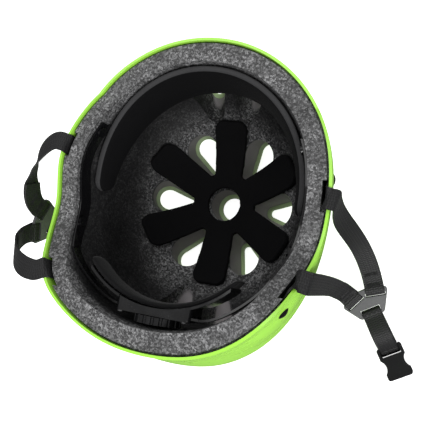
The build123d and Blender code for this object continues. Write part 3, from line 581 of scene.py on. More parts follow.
def cloth_material(name, colour, fibre, sheen, mirror=0.2):
    """Brushed cloth over foam."""
    material, graph, shader = new_material(
        name, {"Sheen Weight": sheen, "Sheen Roughness": 0.4, "Specular IOR Level": mirror}
    )
    nap = graph.effect("cloth_nap", nap_group, {"Vector": graph.place(), "Fibre": fibre})
    tone = graph.mix(nap["Shade"], scaled(colour, 0.5), scaled(colour, 1.5))
    roughness = graph.remap(nap["Height"], 0.3, 0.7, 0.95, 0.8)
    finish_shader(graph, shader, tone, roughness, nap["Height"], 0.00025, 0.7)
    return material


def webbing_material(finish, sizes):
    """Woven webbing, whose ribs follow each strap by its UV in metres."""
    material, graph, shader = new_material(
        "woven_webbing", {"Sheen Weight": 0.05, "Sheen Roughness": 0.35, "Specular IOR Level": 0.3}
    )
    route = graph.add("ShaderNodeUVMap", uv_map="UVMap").outputs[0]
    ribs = graph.effect("webbing_ribs", rib_group, {
        "Vector": route, "Pitch": finish.rib_pitch, "Width": sizes.webbing_width,
    })
    fuzz = graph.remap(graph.noise(graph.place(), 1600.0, 3.0), 0.3, 0.7, 0.8, 1.3)
    # The ribs' shade is painted shade and painted light; the fuzz is random tone
    shade = graph.math("MULTIPLY", ribs["Shade"], fuzz)
    yarn = finish.webbing_colour
    tone = graph.mix(shade, scaled(yarn, 0.35), scaled(yarn, 1.25))
    roughness = graph.remap(ribs["Height"], -0.5, 1.0, 0.6, 0.38)
    finish_shader(graph, shader, tone, roughness, ribs["Height"], 0.00022, 0.8)
    return material


def plastic_material(name, colour, roughness, grain, depth, mirror=0.3, smear=0.08):
    """Moulded plastic with its own grain, a little dust and handling smears."""
    material, graph, shader = new_material(name, {"Specular IOR Level": mirror})
    skin = graph.effect("moulded_grain", grain_group, {
        "Vector": graph.place(), "Grain": grain, "Roughness": roughness, "Smear": smear,
    })
    dust = graph.math("MULTIPLY", skin["Dust"], 0.2)
    tone = graph.mix(dust, rgba(colour), (0.2, 0.2, 0.2, 1.0))
    finish_shader(graph, shader, tone, skin["Roughness"], skin["Height"], depth, 0.5)
    return material


def steel_material(name, colour, roughness):
    """Plated steel with fine turning marks and smears."""
    material, graph, shader = new_material(name, {"Metallic": 1.0})
    skin = graph.effect("moulded_grain", grain_group, {
        "Vector": graph.place(), "Grain": 0.0005, "Roughness": roughness, "Smear": 0.1,
    })
    tone = graph.mix(skin["Height"], scaled(colour, 0.8), scaled(colour, 1.25))
    finish_shader(graph, shader, tone, skin["Roughness"], skin["Height"], 0.00004, 0.4)
    return material


def material(name):
    """A finish that an earlier step made."""
    found = bpy.data.materials.get(name)
    if found is None:
        raise RuntimeError(f"the finish {name} is made before the pieces that wear it")
    return found


# Meshes

def new_object(name, data):
    """An object of the data, in the scene."""
    piece = bpy.data.objects.new(name, data)
    bpy.context.scene.collection.objects.link(piece)
    return piece


def new_piece(name, vertices, faces, finish):
    """A smooth mesh with one finish."""
    mesh = bpy.data.meshes.new(name)
    mesh.from_pydata([tuple(v) for v in vertices], [], faces)
    mesh.materials.append(material(finish))
    mesh.polygons.foreach_set("use_smooth", [True] * len(mesh.polygons))
    mesh.update()
    return new_object(name, mesh)


def outward(piece):
    """Turns every face of a closed piece outwards."""
    work = bmesh.new()
    work.from_mesh(piece.data)
    bmesh.ops.recalc_face_normals(work, faces=work.faces)
    if work.calc_volume(signed=True) < 0:
        bmesh.ops.reverse_faces(work, faces=work.faces)
    work.to_mesh(piece.data)
    work.free()
    piece.data.update()
    return piece


def tube_faces(rings, around, closed):
    """Quads that join one ring of points to the next; open tubes get end caps."""
    faces = []
    spans = rings if closed else rings - 1
    for ring in range(spans):
        here, there = ring * around, (ring + 1) % rings * around
        for k in range(around):
            after = (k + 1) % around
            faces.append((here + k, here + after, there + after, there + k))
    if not closed:
        faces.append(tuple(reversed(range(around))))
        faces.append(tuple(range((rings - 1) * around, rings * around)))
    return faces


def band_section(width, thickness, flats=6, corner_steps=4):
    """Rounded flat outline of webbing as (across, up) points."""
    radius = thickness * 0.42
    points = []
    for corner, (sx, sy) in enumerate(((1, 1), (-1, 1), (-1, -1), (1, -1))):
        middle = (sx * (width / 2 - radius), sy * (thickness / 2 - radius))
        for step in range(corner_steps + 1):
            turn = math.radians(90) * (corner + step / corner_steps)
            points.append(
                (middle[0] + radius * math.cos(turn), middle[1] + radius * math.sin(turn))
            )
        reach = width - 2 * radius
        if sy == (1 if sx == 1 else -1):
            start = points[-1]
            for step in range(1, flats):
                points.append((start[0] - sx * reach * step / flats, start[1]))
    return points


def band(name, centres, acrosses, width, thickness, closed=False):
    """Webbing swept along centre points, with its UV in metres across and along."""
    count = len(centres)
    section = band_section(width, thickness)
    around = len(section)
    vertices, lengths = [], [0.0]
    for i, centre in enumerate(centres):
        before = centres[(i - 1) % count] if closed or i > 0 else centre
        after = centres[(i + 1) % count] if closed or i < count - 1 else centre
        forth = (after - before).normalized()
        across = (acrosses[i] - forth * acrosses[i].dot(forth)).normalized()
        up = forth.cross(across)
        vertices += [centre + across * a + up * b for a, b in section]
        if i:
            lengths.append(lengths[-1] + (centre - centres[i - 1]).length)
    piece = new_piece(name, vertices, tube_faces(count, around, closed), "woven_webbing")
    if closed:
        lengths.append(lengths[-1] + (centres[0] - centres[-1]).length)
    layer = piece.data.uv_layers.new(name="UVMap")
    for polygon in piece.data.polygons:
        wraps = closed and polygon.index // around == count - 1
        for loop, corner in zip(polygon.loop_indices, polygon.vertices):
            ring = corner // around
            along = lengths[count] if wraps and ring == 0 else lengths[ring]
            layer.data[loop].uv = (section[corner % around][0], along)
    return outward(piece)


def spread(points, step):
    """The same polyline as evenly spaced points."""
    lengths = [0.0]
    for here, there in zip(points, points[1:]):
        lengths.append(lengths[-1] + (there - here).length)
    count = max(2, round(lengths[-1] / step))
    table = np.array([tuple(p) for p in points])
    marks = np.linspace(0, lengths[-1], count + 1)
    columns = [np.interp(marks, lengths, table[:, k]) for k in range(3)]
    return [Vector(p) for p in zip(*columns)]


def eased_line(points, passes):
    """The polyline with its corners eased, its ends kept."""
    for _ in range(passes):
        middle = [
            points[i] * 0.5 + (points[i - 1] + points[i + 1]) * 0.25
            for i in range(1, len(points) - 1)
        ]
        points = [points[0], *middle, points[-1]]
    return points


def smoothstep(value):
    """0 below 0 and 1 above 1, with an even turn between."""
    value = min(1.0, max(0.0, value))
    return value * value * (3 - 2 * value)


# The liner's inside as a formula

def power_at(along):
    """Power of the plan outline, before or behind the middle."""
    return np.where(along > 0, FRONT_POWER, REAR_POWER)


def flared(belly, rim, height, rim_height, belly_height=CAVITY_BELLY):
    """Size of a dome between its belly and its rim."""
    rise = np.clip((height - belly_height) / (rim_height - belly_height), 0, 1)
    return belly + (rim - belly) * rise**2 * (3 - 2 * rise)


def shell_side(side, y, height, depth):
    """Point inside the shell's side wall at a place along the side, a depth under its surface."""
    half_width = flared(
        SHELL_HALF_WIDTH, SHELL_RIM_HALF_WIDTH, height, CAVITY_SIDE_RIM, SHELL_BELLY
    ) - depth
    along = y - CAVITY_CENTRE_Y
    front = flared(SHELL_FRONT, SHELL_RIM_FRONT, height, CAVITY_FRONT_RIM, SHELL_BELLY)
    rear = flared(SHELL_REAR, SHELL_RIM_REAR, height, CAVITY_REAR_RIM, SHELL_BELLY)
    length, power = (front, FRONT_POWER) if along > 0 else (rear, REAR_POWER)
    reach = half_width * (1 - abs(along / (length - depth)) ** power) ** (1 / power)
    return Vector((side * float(reach), y, height)) * MM


def cavity_floor(x, y, depth):
    """Height of the liner's inside over plan points, a depth nearer the head."""
    along = y - CAVITY_CENTRE_Y
    length = np.where(along > 0, CAVITY_FRONT, CAVITY_REAR) - depth
    power = power_at(along)
    half_width = CAVITY_HALF_WIDTH - depth
    share = (np.abs(x / half_width) ** power + np.abs(along / length) ** power) ** (1 / power)
    share = np.minimum(share, CAVITY_EDGE_SHARE)
    drop = (1 - share**DOME_POWER) ** (1 / DOME_POWER)
    crown = CAVITY_CROWN + depth
    return CAVITY_BELLY - drop * (CAVITY_BELLY - crown)


def cavity_wall(turn, height, depth):
    """Plan point of the liner's inside at a turn from the front and a height."""
    direction = np.stack([np.sin(turn), np.cos(turn)])
    front = flared(CAVITY_FRONT, CAVITY_RIM_FRONT, height, CAVITY_FRONT_RIM)
    rear = flared(CAVITY_REAR, CAVITY_RIM_REAR, height, CAVITY_REAR_RIM)
    length = np.where(direction[1] > 0, front, rear) - depth
    half_width = flared(CAVITY_HALF_WIDTH, CAVITY_RIM_HALF_WIDTH, height, CAVITY_SIDE_RIM) - depth
    power = power_at(direction[1])
    wide = np.abs(direction[0] / half_width) ** power
    long = np.abs(direction[1] / length) ** power
    reach = (wide + long) ** (-1 / power)
    crown = CAVITY_CROWN + depth
    drop = np.clip((CAVITY_BELLY - height) / (CAVITY_BELLY - crown), 0, 1)
    share = (1 - drop**DOME_POWER) ** (1 / DOME_POWER)
    return direction[0] * reach * share, CAVITY_CENTRE_Y + direction[1] * reach * share


# Operators

def settings():
    """The finish, size and stage properties."""
    scene = bpy.context.scene
    return scene.helmet_finish, scene.helmet_sizes, scene.helmet_stage


class HELMET_OT_finishes(bpy.types.Operator):
    """Makes every finish and gives the rigid pieces theirs"""

    bl_idname = "helmet.finishes"
    bl_label = "Finishes"

    def execute(self, context):
        finish, sizes, _ = settings()
        shell_material(finish)
        foam_material(finish)
        cloth_material("pad_cloth_brushed", finish.pad_colour, 0.0006, 0.02, mirror=0.08)
        # The brow pad's top edge: cut foam, made lighter partly with painted light from above
        cloth_material("pad_cut_edge_painted_light", finish.cut_edge_and_painted_light, 0.0009, 0.05)
        cloth_material("lining_cloth", finish.pad_colour, 0.0009, 0.1)
        cloth_material("hook_tape_black", finish.plastic_colour, 0.0012, 0.0)
        webbing_material(finish, sizes)
        plastic_material("sewing_thread", finish.webbing_colour, 0.5, 0.0003, 0.00003)
        plastic_material("strip_gloss", finish.gloss_colour, 0.16, 0.003, 0.00005, mirror=0.45)
        plastic_material("cradle_gloss", finish.gloss_colour, 0.14, 0.004, 0.00006, mirror=0.45)
        plastic_material("dial_satin", finish.gloss_colour, 0.3, 0.0007, 0.00005)
        plastic_material("rack_satin", finish.plastic_colour, 0.4, 0.0009, 0.00004)
        plastic_material("buckle_satin", finish.gloss_colour, 0.34, 0.0006, 0.00006, mirror=0.2)
        plastic_material("divider_satin", finish.divider_colour, 0.3, 0.0006, 0.00006)
        plastic_material("keeper_rubber", finish.plastic_colour, 0.7, 0.0009, 0.00006)
        steel_material("rivet_black", finish.rivet_colour, 0.35)
        steel_material("screw_black", finish.screw_colour, 0.38)
        worn = {
            "glossy_shell": ["outer_shell"],
            "bead_foam_moulded": ["foam_liner"],
            "hook_tape_black": ["hook_dots"],
            "rivet_black": ["strap_rivets", "rivet_washers"],
            "screw_black": ["adjuster_screws"],
            "strip_gloss": ["left_headband_strip", "right_headband_strip", "headband_pins"],
            "cradle_gloss": ["rear_cradle", "adjuster_cover"],
            "dial_satin": ["adjuster_dial"],
            "rack_satin": ["left_rack", "right_rack"],
            "buckle_satin": ["buckle_socket", "buckle_plug", "plug_front_prong", "plug_rear_prong"],
            "divider_satin": ["left_divider", "right_divider"],
            "keeper_rubber": ["strap_keeper"],
        }
        for name, nodes in worn.items():
            for node in nodes:
                mesh = frame["nodes"][node].data
                mesh.materials.clear()
                mesh.materials.append(material(name))
        return {"FINISHED"}


def star_part(work, outline, thickness):
    """A flat slab of one closed outline, standing on zero height."""
    low = [work.verts.new((x, y, 0)) for x, y in outline]
    high = [work.verts.new((x, y, thickness)) for x, y in outline]
    work.faces.new(reversed(low))
    work.faces.new(high)
    for k in range(len(outline)):
        after = (k + 1) % len(outline)
        work.faces.new((low[k], low[after], high[after], high[k]))


def arm_outline(turn):
    """One arm: narrow at its root, wide with two round corners at its tip."""
    points = []
    circles = (
        (STAR_ARM_REACH, STAR_TIP_HALF_GAP, STAR_TIP_CORNER, 0, 90),
        (STAR_ROOT, 0.0, STAR_ROOT_RADIUS, 90, 270),
        (STAR_ARM_REACH, -STAR_TIP_HALF_GAP, STAR_TIP_CORNER, 270, 360),
    )
    for along, across, radius, first, last in circles:
        for step in range(13):
            angle = math.radians(first + (last - first) * step / 12)
            point = (along + radius * math.cos(angle), across + radius * math.sin(angle))
            points.append(Vector(point))
    rotation = Matrix.Rotation(turn, 2)
    return [tuple(rotation @ point) for point in points]


def ring_slab(work, inner, outer, thickness):
    """A flat ring standing on zero height."""
    steps = 96
    rows = []
    turns = [math.tau * k / steps for k in range(steps)]
    for radius, height in ((inner, 0), (outer, 0), (outer, thickness), (inner, thickness)):
        rows.append(
            [work.verts.new((radius * math.cos(t), radius * math.sin(t), height)) for t in turns]
        )
    for row in range(4):
        here, there = rows[row], rows[(row + 1) % 4]
        for k in range(steps):
            after = (k + 1) % steps
            work.faces.new((here[k], here[after], there[after], there[k]))


def apply_modifiers(piece):
    """Keeps the piece's evaluated mesh and drops its modifiers."""
    graph = bpy.context.evaluated_depsgraph_get()
    mesh = bpy.data.meshes.new_from_object(piece.evaluated_get(graph))
    piece.modifiers.clear()
    piece.data = mesh


class HELMET_OT_crown_pad(bpy.types.Operator):
    """Makes the six-armed comfort pad, laid on the liner's floor"""

    bl_idname = "helmet.crown_pad"
    bl_label = "Crown pad"

    def execute(self, context):
        _, sizes, _ = settings()
        work = bmesh.new()
        ring_slab(work, STAR_HOLE_RADIUS, STAR_HUB_RADIUS, STAR_THICKNESS)
        for arm in range(STAR_ARMS):
            turn = math.radians(STAR_FIRST_TURN) + math.tau * arm / STAR_ARMS
            star_part(work, arm_outline(turn), STAR_THICKNESS)
        bmesh.ops.recalc_face_normals(work, faces=work.faces)
        mesh = bpy.data.meshes.new("crown_comfort_pad")
        work.to_mesh(mesh)
        work.free()
        piece = new_object("crown_comfort_pad", mesh)
        remesh = piece.modifiers.new("even", "REMESH")
        remesh.mode, remesh.voxel_size = "VOXEL", STAR_VOXEL
        smooth = piece.modifiers.new("round", "SMOOTH")
        smooth.factor, smooth.iterations = 0.5, 5
        apply_modifiers(piece)
        self.lay(piece.data, sizes.pad_crown / MM)
        piece.data.polygons.foreach_set("use_smooth", [True] * len(piece.data.polygons))
        piece.data.materials.clear()
        piece.data.materials.append(material("pad_cloth_brushed"))
        outward(piece)
        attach(piece, "helmet")
        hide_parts("crown_pad")
        return {"FINISHED"}

    def lay(self, mesh, crown):
        """Moves the flat pad on to the liner's inside, swelling it between its edges."""
        flat = np.empty(len(mesh.vertices) * 3)
        mesh.vertices.foreach_get("co", flat)
        x, y, up = flat.reshape(-1, 3).T
        base = cavity_floor(x, y, PAD_STAND_OFF)
        slope_x = (cavity_floor(x + SURFACE_STEP, y, PAD_STAND_OFF) - base) / SURFACE_STEP
        slope_y = (cavity_floor(x, y + SURFACE_STEP, PAD_STAND_OFF) - base) / SURFACE_STEP
        length = np.sqrt(slope_x**2 + slope_y**2 + 1)
        radius, turn = np.hypot(x, y), np.arctan2(y, x) - math.radians(STAR_FIRST_TURN)
        step = math.tau / STAR_ARMS
        side = radius * np.sin(np.abs((turn + step / 2) % step - step / 2))
        tip_half = STAR_TIP_CORNER + STAR_TIP_HALF_GAP
        half = STAR_ROOT_RADIUS + (tip_half - STAR_ROOT_RADIUS) * radius / STAR_ARM_REACH
        to_tip = STAR_ARM_REACH + STAR_TIP_CORNER - radius
        swell = np.clip(1 - (side / half) ** 2, 0, 1) * np.clip(to_tip / STAR_SWELL_EASE, 0, 1)
        lift = up + crown * swell * up / STAR_THICKNESS
        placed = np.stack(
            [x - slope_x / length * lift, y - slope_y / length * lift, base + lift / length], axis=1
        )
        mesh.vertices.foreach_set("co", (placed * MM).ravel())
        mesh.update()


def pillow(name, place, finish, steps, around=44, edge=None):
    """A long pad, whose points place(share, turn) gives.

    An edge is a second finish and the turns that it covers, in degrees.
    """
    vertices = []
    for i in range(steps + 1):
        for k in range(around):
            vertices.append(place(i / steps, math.tau * k / around))
    piece = new_piece(name, vertices, tube_faces(steps + 1, around, False), finish)
    if edge:
        edge_finish, (first, last) = edge
        piece.data.materials.append(material(edge_finish))
        for polygon in piece.data.polygons[:steps * around]:
            if first <= 360 * (polygon.index % around + 0.5) / around <= last:
                polygon.material_index = 1
    return outward(piece)


def pad_section(turn, half_height, thickness, crown):
    """Point of a pad's section: up along its height, out from its back."""
    up = math.copysign(abs(math.sin(turn)) ** PAD_UP_POWER, math.sin(turn))
    out = math.copysign(abs(math.cos(turn)) ** PAD_OUT_POWER, math.cos(turn))
    swell = crown * max(0.0, 1 - up * up) if out > 0 else 0.0
    return up * half_height, thickness / 2 + out * thickness / 2 + swell


class HELMET_OT_brow_pad(bpy.types.Operator):
    """Makes the comfort pad that runs from temple to temple"""

    bl_idname = "helmet.brow_pad"
    bl_label = "Brow pad"

    def execute(self, context):
        _, sizes, _ = settings()
        end_turn = math.atan2(CAVITY_HALF_WIDTH, BROW_END_Y - BROW_END_RADIUS - CAVITY_CENTRE_Y)
        crown = sizes.pad_crown / MM

        def place(share, turn):
            swing = end_turn * (2 * share - 1)
            swing = math.copysign(abs(swing / end_turn) ** BROW_SPACING_POWER, swing) * end_turn
            _, y = cavity_wall(np.array(swing), np.array(BROW_END_HEIGHT), PAD_STAND_OFF)
            rise = min(1.0, max(0.0, (float(y) - BROW_END_Y) / (CAVITY_FRONT - BROW_END_Y)))
            end_top = BROW_END_HEIGHT + BROW_END_RADIUS
            end_bottom = BROW_END_HEIGHT - BROW_END_RADIUS
            top = end_top + (BROW_TOP - end_top) * rise
            bottom = end_bottom + (BROW_BOTTOM - end_bottom) * rise
            inset = min(1.0, (float(y) - BROW_END_Y + BROW_END_RADIUS) / BROW_END_RADIUS)
            cap = math.sqrt(max(0.0, 1 - (1 - max(0.0, inset)) ** 2))
            half = (top - bottom) / 2 * max(cap, BROW_CAP_HEIGHT)
            thickness = BROW_THICKNESS * max(cap, BROW_CAP_THICKNESS) ** 0.5
            up, out = pad_section(turn, half, thickness, crown)
            height = (top + bottom) / 2 + up
            x, y = cavity_wall(np.array(swing), np.array(height), PAD_STAND_OFF + out)
            return Vector((float(x), float(y), height)) * MM

        # Its top wears the lighter cut-edge finish, partly painted light from above
        piece = pillow(
            "brow_comfort_pad", place, "pad_cloth_brushed", BROW_STEPS,
            edge=("pad_cut_edge_painted_light", BROW_EDGE_TURNS),
        )
        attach(piece, "helmet")
        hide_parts("brow_pad")
        return {"FINISHED"}


class HELMET_OT_cradle_lining(bpy.types.Operator):
    """Makes the soft lining on the rear cradle"""

    bl_idname = "helmet.cradle_lining"
    bl_label = "Cradle lining"

    def execute(self, context):
        _, sizes, _ = settings()
        end_turn = math.asin(LINING_HALF_WIDTH / (LINING_RADIUS + LINING_THICKNESS))
        crown = sizes.pad_crown / MM

        def place(share, turn):
            swing = end_turn * (2 * share - 1)
            from_end = min(share, 1 - share) / LINING_CORNER_SHARE
            cap = math.sqrt(max(0.0, 1 - max(0.0, 1 - from_end) ** 2))
            half = LINING_HEIGHT / 2 * (LINING_END_HEIGHT + (1 - LINING_END_HEIGHT) * cap)
            thickness = LINING_THICKNESS * (LINING_END_THICKNESS + (1 - LINING_END_THICKNESS) * cap)
            up, out = pad_section(turn, half, thickness, crown)
            radius = LINING_RADIUS + LINING_THICKNESS - out
            back = LINING_CENTRE_Y - radius * math.cos(swing)
            return Vector((radius * math.sin(swing), back, LINING_LEVEL + up)) * MM

        piece = pillow("cradle_comfort_lining", place, "lining_cloth", LINING_STEPS)
        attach(piece, "cradle")
        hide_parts("cradle_lining")
        return {"FINISHED"}


def joint(name):
    """One joint of the frame."""
    return next(j for j in frame["joints"] if j["name"] == name)


class StrapSide:
    """One side's swing axis, divider and the directions that its webbing takes, in metres."""

    def __init__(self, name, side, chin_joint, buckle_joint, chin, arrives, leaves):
        swing, bar = joint(f"{name}_strap_swing"), joint(chin_joint)
        self.name, self.side = name, side
        self.axis = Vector(swing["axis"]).normalized()
        self.pivot = Vector(swing["pos_m"])
        self.across = Vector(bar["axis"]).normalized()
        self.bar = Vector(bar["pos_m"])
        self.buckle_bar = Vector(joint(buckle_joint)["pos_m"])
        self.down = (Vector(chin) - self.across * Vector(chin).dot(self.across)).normalized()
        self.face = self.across.cross(self.down)
        self.middle = self.bar - self.down * CHIN_BAR_Y * MM
        self.arrives = arrives
        self.leaves = {end: Vector(leave) * MM for end, leave in leaves.items()}

    def on_axis(self, y):
        """Point of the swing axis at one Y."""
        return self.pivot + self.axis * ((y * MM - self.pivot.y) / self.axis.y)


# Where each strap leaves the rim: its Y on the swing axis, in millimetres, and the directions out
# through the shell and up
EXITS = {
    ("left", "front"): (-0.71, (1.0, 0.021, 0.0), (0.004, -0.212, 0.977)),
    ("left", "rear"): (-56.55, (0.931, -0.365, 0.0), (0.187, 0.478, 0.858)),
    ("right", "front"): (21.0, (-0.985, 0.175, 0.0), (0.018, 0.101, 0.995)),
    ("right", "rear"): (-77.96, (-0.839, -0.544, 0.0), (-0.174, 0.269, 0.947)),
}
# Each strap's rivet: its Y and its height, in millimetres
ANCHORS = {"front": (17.0, 103.0), "rear": (-78.0, 128.0)}


def sides():
    """The left and the right side's webbing, set from the frame's joints."""
    return (
        StrapSide(
            "left", 1, "left_chin_lift", "socket_tilt", (0.492, -0.807, -0.325),
            {"front": 44.0, "rear": 12.6},
            {"front": (-6.3, -11.5, -44.0), "rear": (6.3, 1.05, -27.2)},
        ),
        StrapSide(
            "right", -1, "right_chin_swing", "plug_tilt", (0.25, 0.0, -0.97),
            {"front": 19.9, "rear": 17.8},
            {"front": (-21.0, -4.2, -2.1), "rear": (-26.2, 0.0, 0.0)},
        ),
    )


def bezier(points, count):
    """Points of a cubic from its four control points."""
    line = []
    for step in range(count + 1):
        t = step / count
        weights = ((1 - t) ** 3, 3 * t * (1 - t) ** 2, 3 * t * t * (1 - t), t**3)
        line.append(sum((p * w for p, w in zip(points, weights)), Vector()))
    return line


def fold_frame(place, end):
    """Middle of the ear bar that a strap folds round, its direction, and the way on to the chin."""
    hand = -place.side * (1 if end == "front" else -1)
    turn = Matrix.Rotation(math.radians(hand * SLOT_TURNS[end]), 3, place.face)
    across, down = turn @ place.across, turn @ place.down
    inner = place.middle + (place.across * hand * SLOT_INNER_X + place.down * SLOT_Y) * MM
    return inner + (across * hand * SLOT_HALF + down * EAR_BAR_Y) * MM, across, down


def under_rivet(side, anchor, inner):
    """Points from a strap's tail, past its rivet, up beside the shell to the rim."""
    y, height = anchor
    run_y, run_z = inner.y - y, inner.z - height
    back = TAB_TAIL / math.hypot(run_y, run_z)
    shares = np.linspace(-back, TAB_END_SHARE, TAB_POINTS)
    return [shell_side(side, y + run_y * k, height + run_z * k, TAB_DEPTH) for k in shares]


def beside_shell(side, point):
    """Level direction along the inside of the shell at a point beside it."""
    y, height = point.y / MM, point.z / MM
    ahead = shell_side(side, y + 1, height, TAB_DEPTH)
    return (ahead - shell_side(side, y - 1, height, TAB_DEPTH)).normalized()


def way_out(place, end, rim, out, up, finish, down):
    """Centre points of a strap before its fold, and how many of them lie beside the shell."""
    inner = rim - out * TAB_INSET * MM
    held = under_rivet(place.side, ANCHORS[end], inner / MM)
    corner = []
    for turn in (0.0, 0.5, 1.0, math.pi / 2):
        reach = TAB_BEND * (1 - math.cos(turn))
        lift = TAB_LIFT - TAB_BEND * (1 - math.sin(turn))
        corner.append(inner + (out * reach + up * lift) * MM)
    start = place.on_axis(EXITS[place.name, end][0]) + out * STRAP_OUT * MM
    start -= Vector((0, 0, STRAP_DOWN * MM))
    leave, arrive = place.leaves[end], down * place.arrives[end] * MM
    run = bezier((start, start + leave, finish - arrive, finish), RUN_POINTS)
    tail = sum((there - here).length for here, there in zip(held, held[1:]))
    free = eased_line(spread([*held, *corner, *run], STEP * MM), 4)
    return free, round(tail / (STEP * MM))


def width_ways(place, free, tail, along, across):
    """Direction of a strap's width at each centre point, and at its fold."""
    first = place.axis if place.axis.dot(along) > 0 else -place.axis
    last = across if across.dot(first) > 0 else -across
    ways = []
    for i in range(len(free)):
        share = smoothstep((i / len(free) - TURN_FROM) / (1 - TURN_FROM))
        way = first.lerp(last, share).normalized()
        if i < tail + HINGE_STEPS:
            flat = beside_shell(place.side, free[min(i, tail - 1)])
            flat = flat if flat.dot(first) > 0 else -flat
            way = flat.lerp(way, smoothstep((i - tail) / HINGE_STEPS)).normalized()
        ways.append(way)
    return ways, last


def strap_route(place, end, thickness):
    """Centre points and across directions of one strap, from its rivet to its sewn end."""
    y, out, up = EXITS[place.name, end]
    out, up = Vector(out), Vector(up)
    rim = place.on_axis(y) - (out * AXIS_REACH + up * AXIS_LIFT) * MM
    bar, across, down = fold_frame(place, end)
    finish = bar - down * ((EAR_BAR_HALF + BAR_GAP) * MM + thickness / 2)
    free, tail = way_out(place, end, rim, out, up, finish, down)
    turned, last = width_ways(place, free, tail, out.cross(up), across)
    half = thickness / 2 + LAYER_GAP * MM
    count = len(free)
    lifted, backed, back_across = [], [], []
    for i, point in enumerate(free):
        forth = free[min(i + 1, count - 1)] - free[max(i - 1, 0)]
        normal = forth.cross(turned[i]).normalized()
        if normal.dot(place.face) < 0:
            normal = -normal
        left_over = (count - 1 - i) * STEP
        doubled = 1 - smoothstep((left_over - FOLD_RETURN) / LAYER_EASE)
        lifted.append(point + normal * half * doubled)
        if left_over <= FOLD_RETURN:
            backed.append(point - normal * half)
            back_across.append(turned[i])
    reach = EAR_BAR_HALF + FOLD_SLACK
    upper = [
        FOLD_MEETS, *((along, LAYER_LIFT) for along in FOLD_FLAT),
        (reach - FOLD_CORNER, LAYER_LIFT * FOLD_CORNER_SHARE),
    ]
    loop = [*upper, (reach, 0.0), *((along, -lift) for along, lift in reversed(upper))]
    around = spread([bar + (down * a + place.face * b) * MM for a, b in loop], STEP * MM * 0.7)
    keep = FOLD_POINTS_GIVEN
    centres = lifted[:-keep] + around + list(reversed(backed[:-keep]))
    acrosses = turned[:-keep] + [last] * len(around) + list(reversed(back_across[:-keep]))
    return eased_line(centres, 3), acrosses, rim


class HELMET_OT_straps(bpy.types.Operator):
    """Makes the four rim straps, each one length of webbing from its rivet to its sewn end"""

    bl_idname = "helmet.straps"
    bl_label = "Straps"

    def execute(self, context):
        _, sizes, _ = settings()
        for place in sides():
            for end in ("front", "rear"):
                centres, acrosses, rim = strap_route(place, end, sizes.webbing_thickness)
                piece = band(
                    f"{place.name}_{end}_webbing", centres, acrosses, sizes.webbing_width,
                    sizes.webbing_thickness,
                )
                out, up = (Vector(way) for way in EXITS[place.name, end][1:])
                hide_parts(f"{place.name}_{end}_strap", f"{place.name}_strap_tabs")
                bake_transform(piece)
        return {"FINISHED"}


def loop_route(place, arch):
    """Closed centre line round the divider's chin bar and the buckle's bar."""
    run = place.buckle_bar - place.bar
    length = run.length / MM
    forth = run.normalized()
    up = place.across.cross(forth)
    radius = LOOP_RADIUS
    turns = np.linspace(math.radians(90), math.radians(270), 13)
    near = [(radius * math.cos(a) - LOOP_SLACK, radius * math.sin(a)) for a in turns]
    far = [(length + BUCKLE_SLACK - radius * math.cos(a), -radius * math.sin(a)) for a in turns]
    steps = max(8, round(length / STEP))
    low = [(length * k / steps, -radius) for k in range(1, steps)]
    high = []
    for k in range(1, steps):
        lift = arch * math.sin(math.pi * k / steps) ** CHIN_ARCH_POWER
        high.append((length * (1 - k / steps), radius + lift))
    points = near + low + far + high
    return [place.bar + (forth * a + up * b) * MM for a, b in points]


class HELMET_OT_chin_loops(bpy.types.Operator):
    """Makes the two chin loops between the dividers and the buckle halves"""

    bl_idname = "helmet.chin_loops"
    bl_label = "Chin loops"

    def execute(self, context):
        _, sizes, _ = settings()
        for place in sides():
            centres = loop_route(place, CHIN_ARCH[place.name])
            piece = band(
                f"{place.name}_chin_webbing", centres, [place.across] * len(centres),
                sizes.webbing_width, sizes.webbing_thickness, closed=True,
            )
            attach(piece, f"{place.name}_chin")
            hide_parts(f"{place.name}_chin_loop")
        return {"FINISHED"}


def stitch_tree():
    """Short threads laid along a path, as one mesh."""
    tree = bpy.data.node_groups.new("thread_row", "GeometryNodeTree")
    for label, way, kind in (
        ("Path", "INPUT", "Geometry"), ("Stitch Length", "INPUT", "Float"),
        ("Thread Radius", "INPUT", "Float"), ("Thread", "INPUT", "Material"),
        ("Stitches", "OUTPUT", "Geometry"),
    ):
        tree.interface.new_socket(label, in_out=way, socket_type=f"NodeSocket{kind}")
    graph = Graph(tree)
    given = graph.add("NodeGroupInput").outputs
    length, radius = given["Stitch Length"], given["Thread Radius"]
    path = graph.add("GeometryNodeMeshToCurve", {"Mesh": given["Path"]}).outputs[0]
    points = graph.add(
        "GeometryNodeResampleCurve", {"Curve": path, "Length": length}, mode="LENGTH"
    )
    tangent = graph.add("GeometryNodeInputTangent").outputs[0]
    turn = graph.add("FunctionNodeAlignRotationToVector", {"Vector": tangent}, axis="Z").outputs[0]
    bead = {"Segments": 8, "Rings": 6, "Radius": radius}
    thread = graph.add("GeometryNodeMeshUVSphere", bead).outputs["Mesh"]
    stretch = graph.math("DIVIDE", length, graph.math("MULTIPLY", radius, 2.3))
    scale = graph.add("ShaderNodeCombineXYZ", {0: 1.0, 1: 1.0, 2: stretch}).outputs[0]
    laid = graph.add(
        "GeometryNodeInstanceOnPoints",
        {"Points": points.outputs[0], "Instance": thread, "Rotation": turn, "Scale": scale},
    ).outputs[0]
    real = graph.add("GeometryNodeRealizeInstances", {"Geometry": laid}).outputs[0]
    worn = {"Geometry": real, "Material": given["Thread"]}
    dressed = graph.add("GeometryNodeSetMaterial", worn).outputs[0]
    graph.add("NodeGroupOutput", {"Stitches": dressed})
    return tree


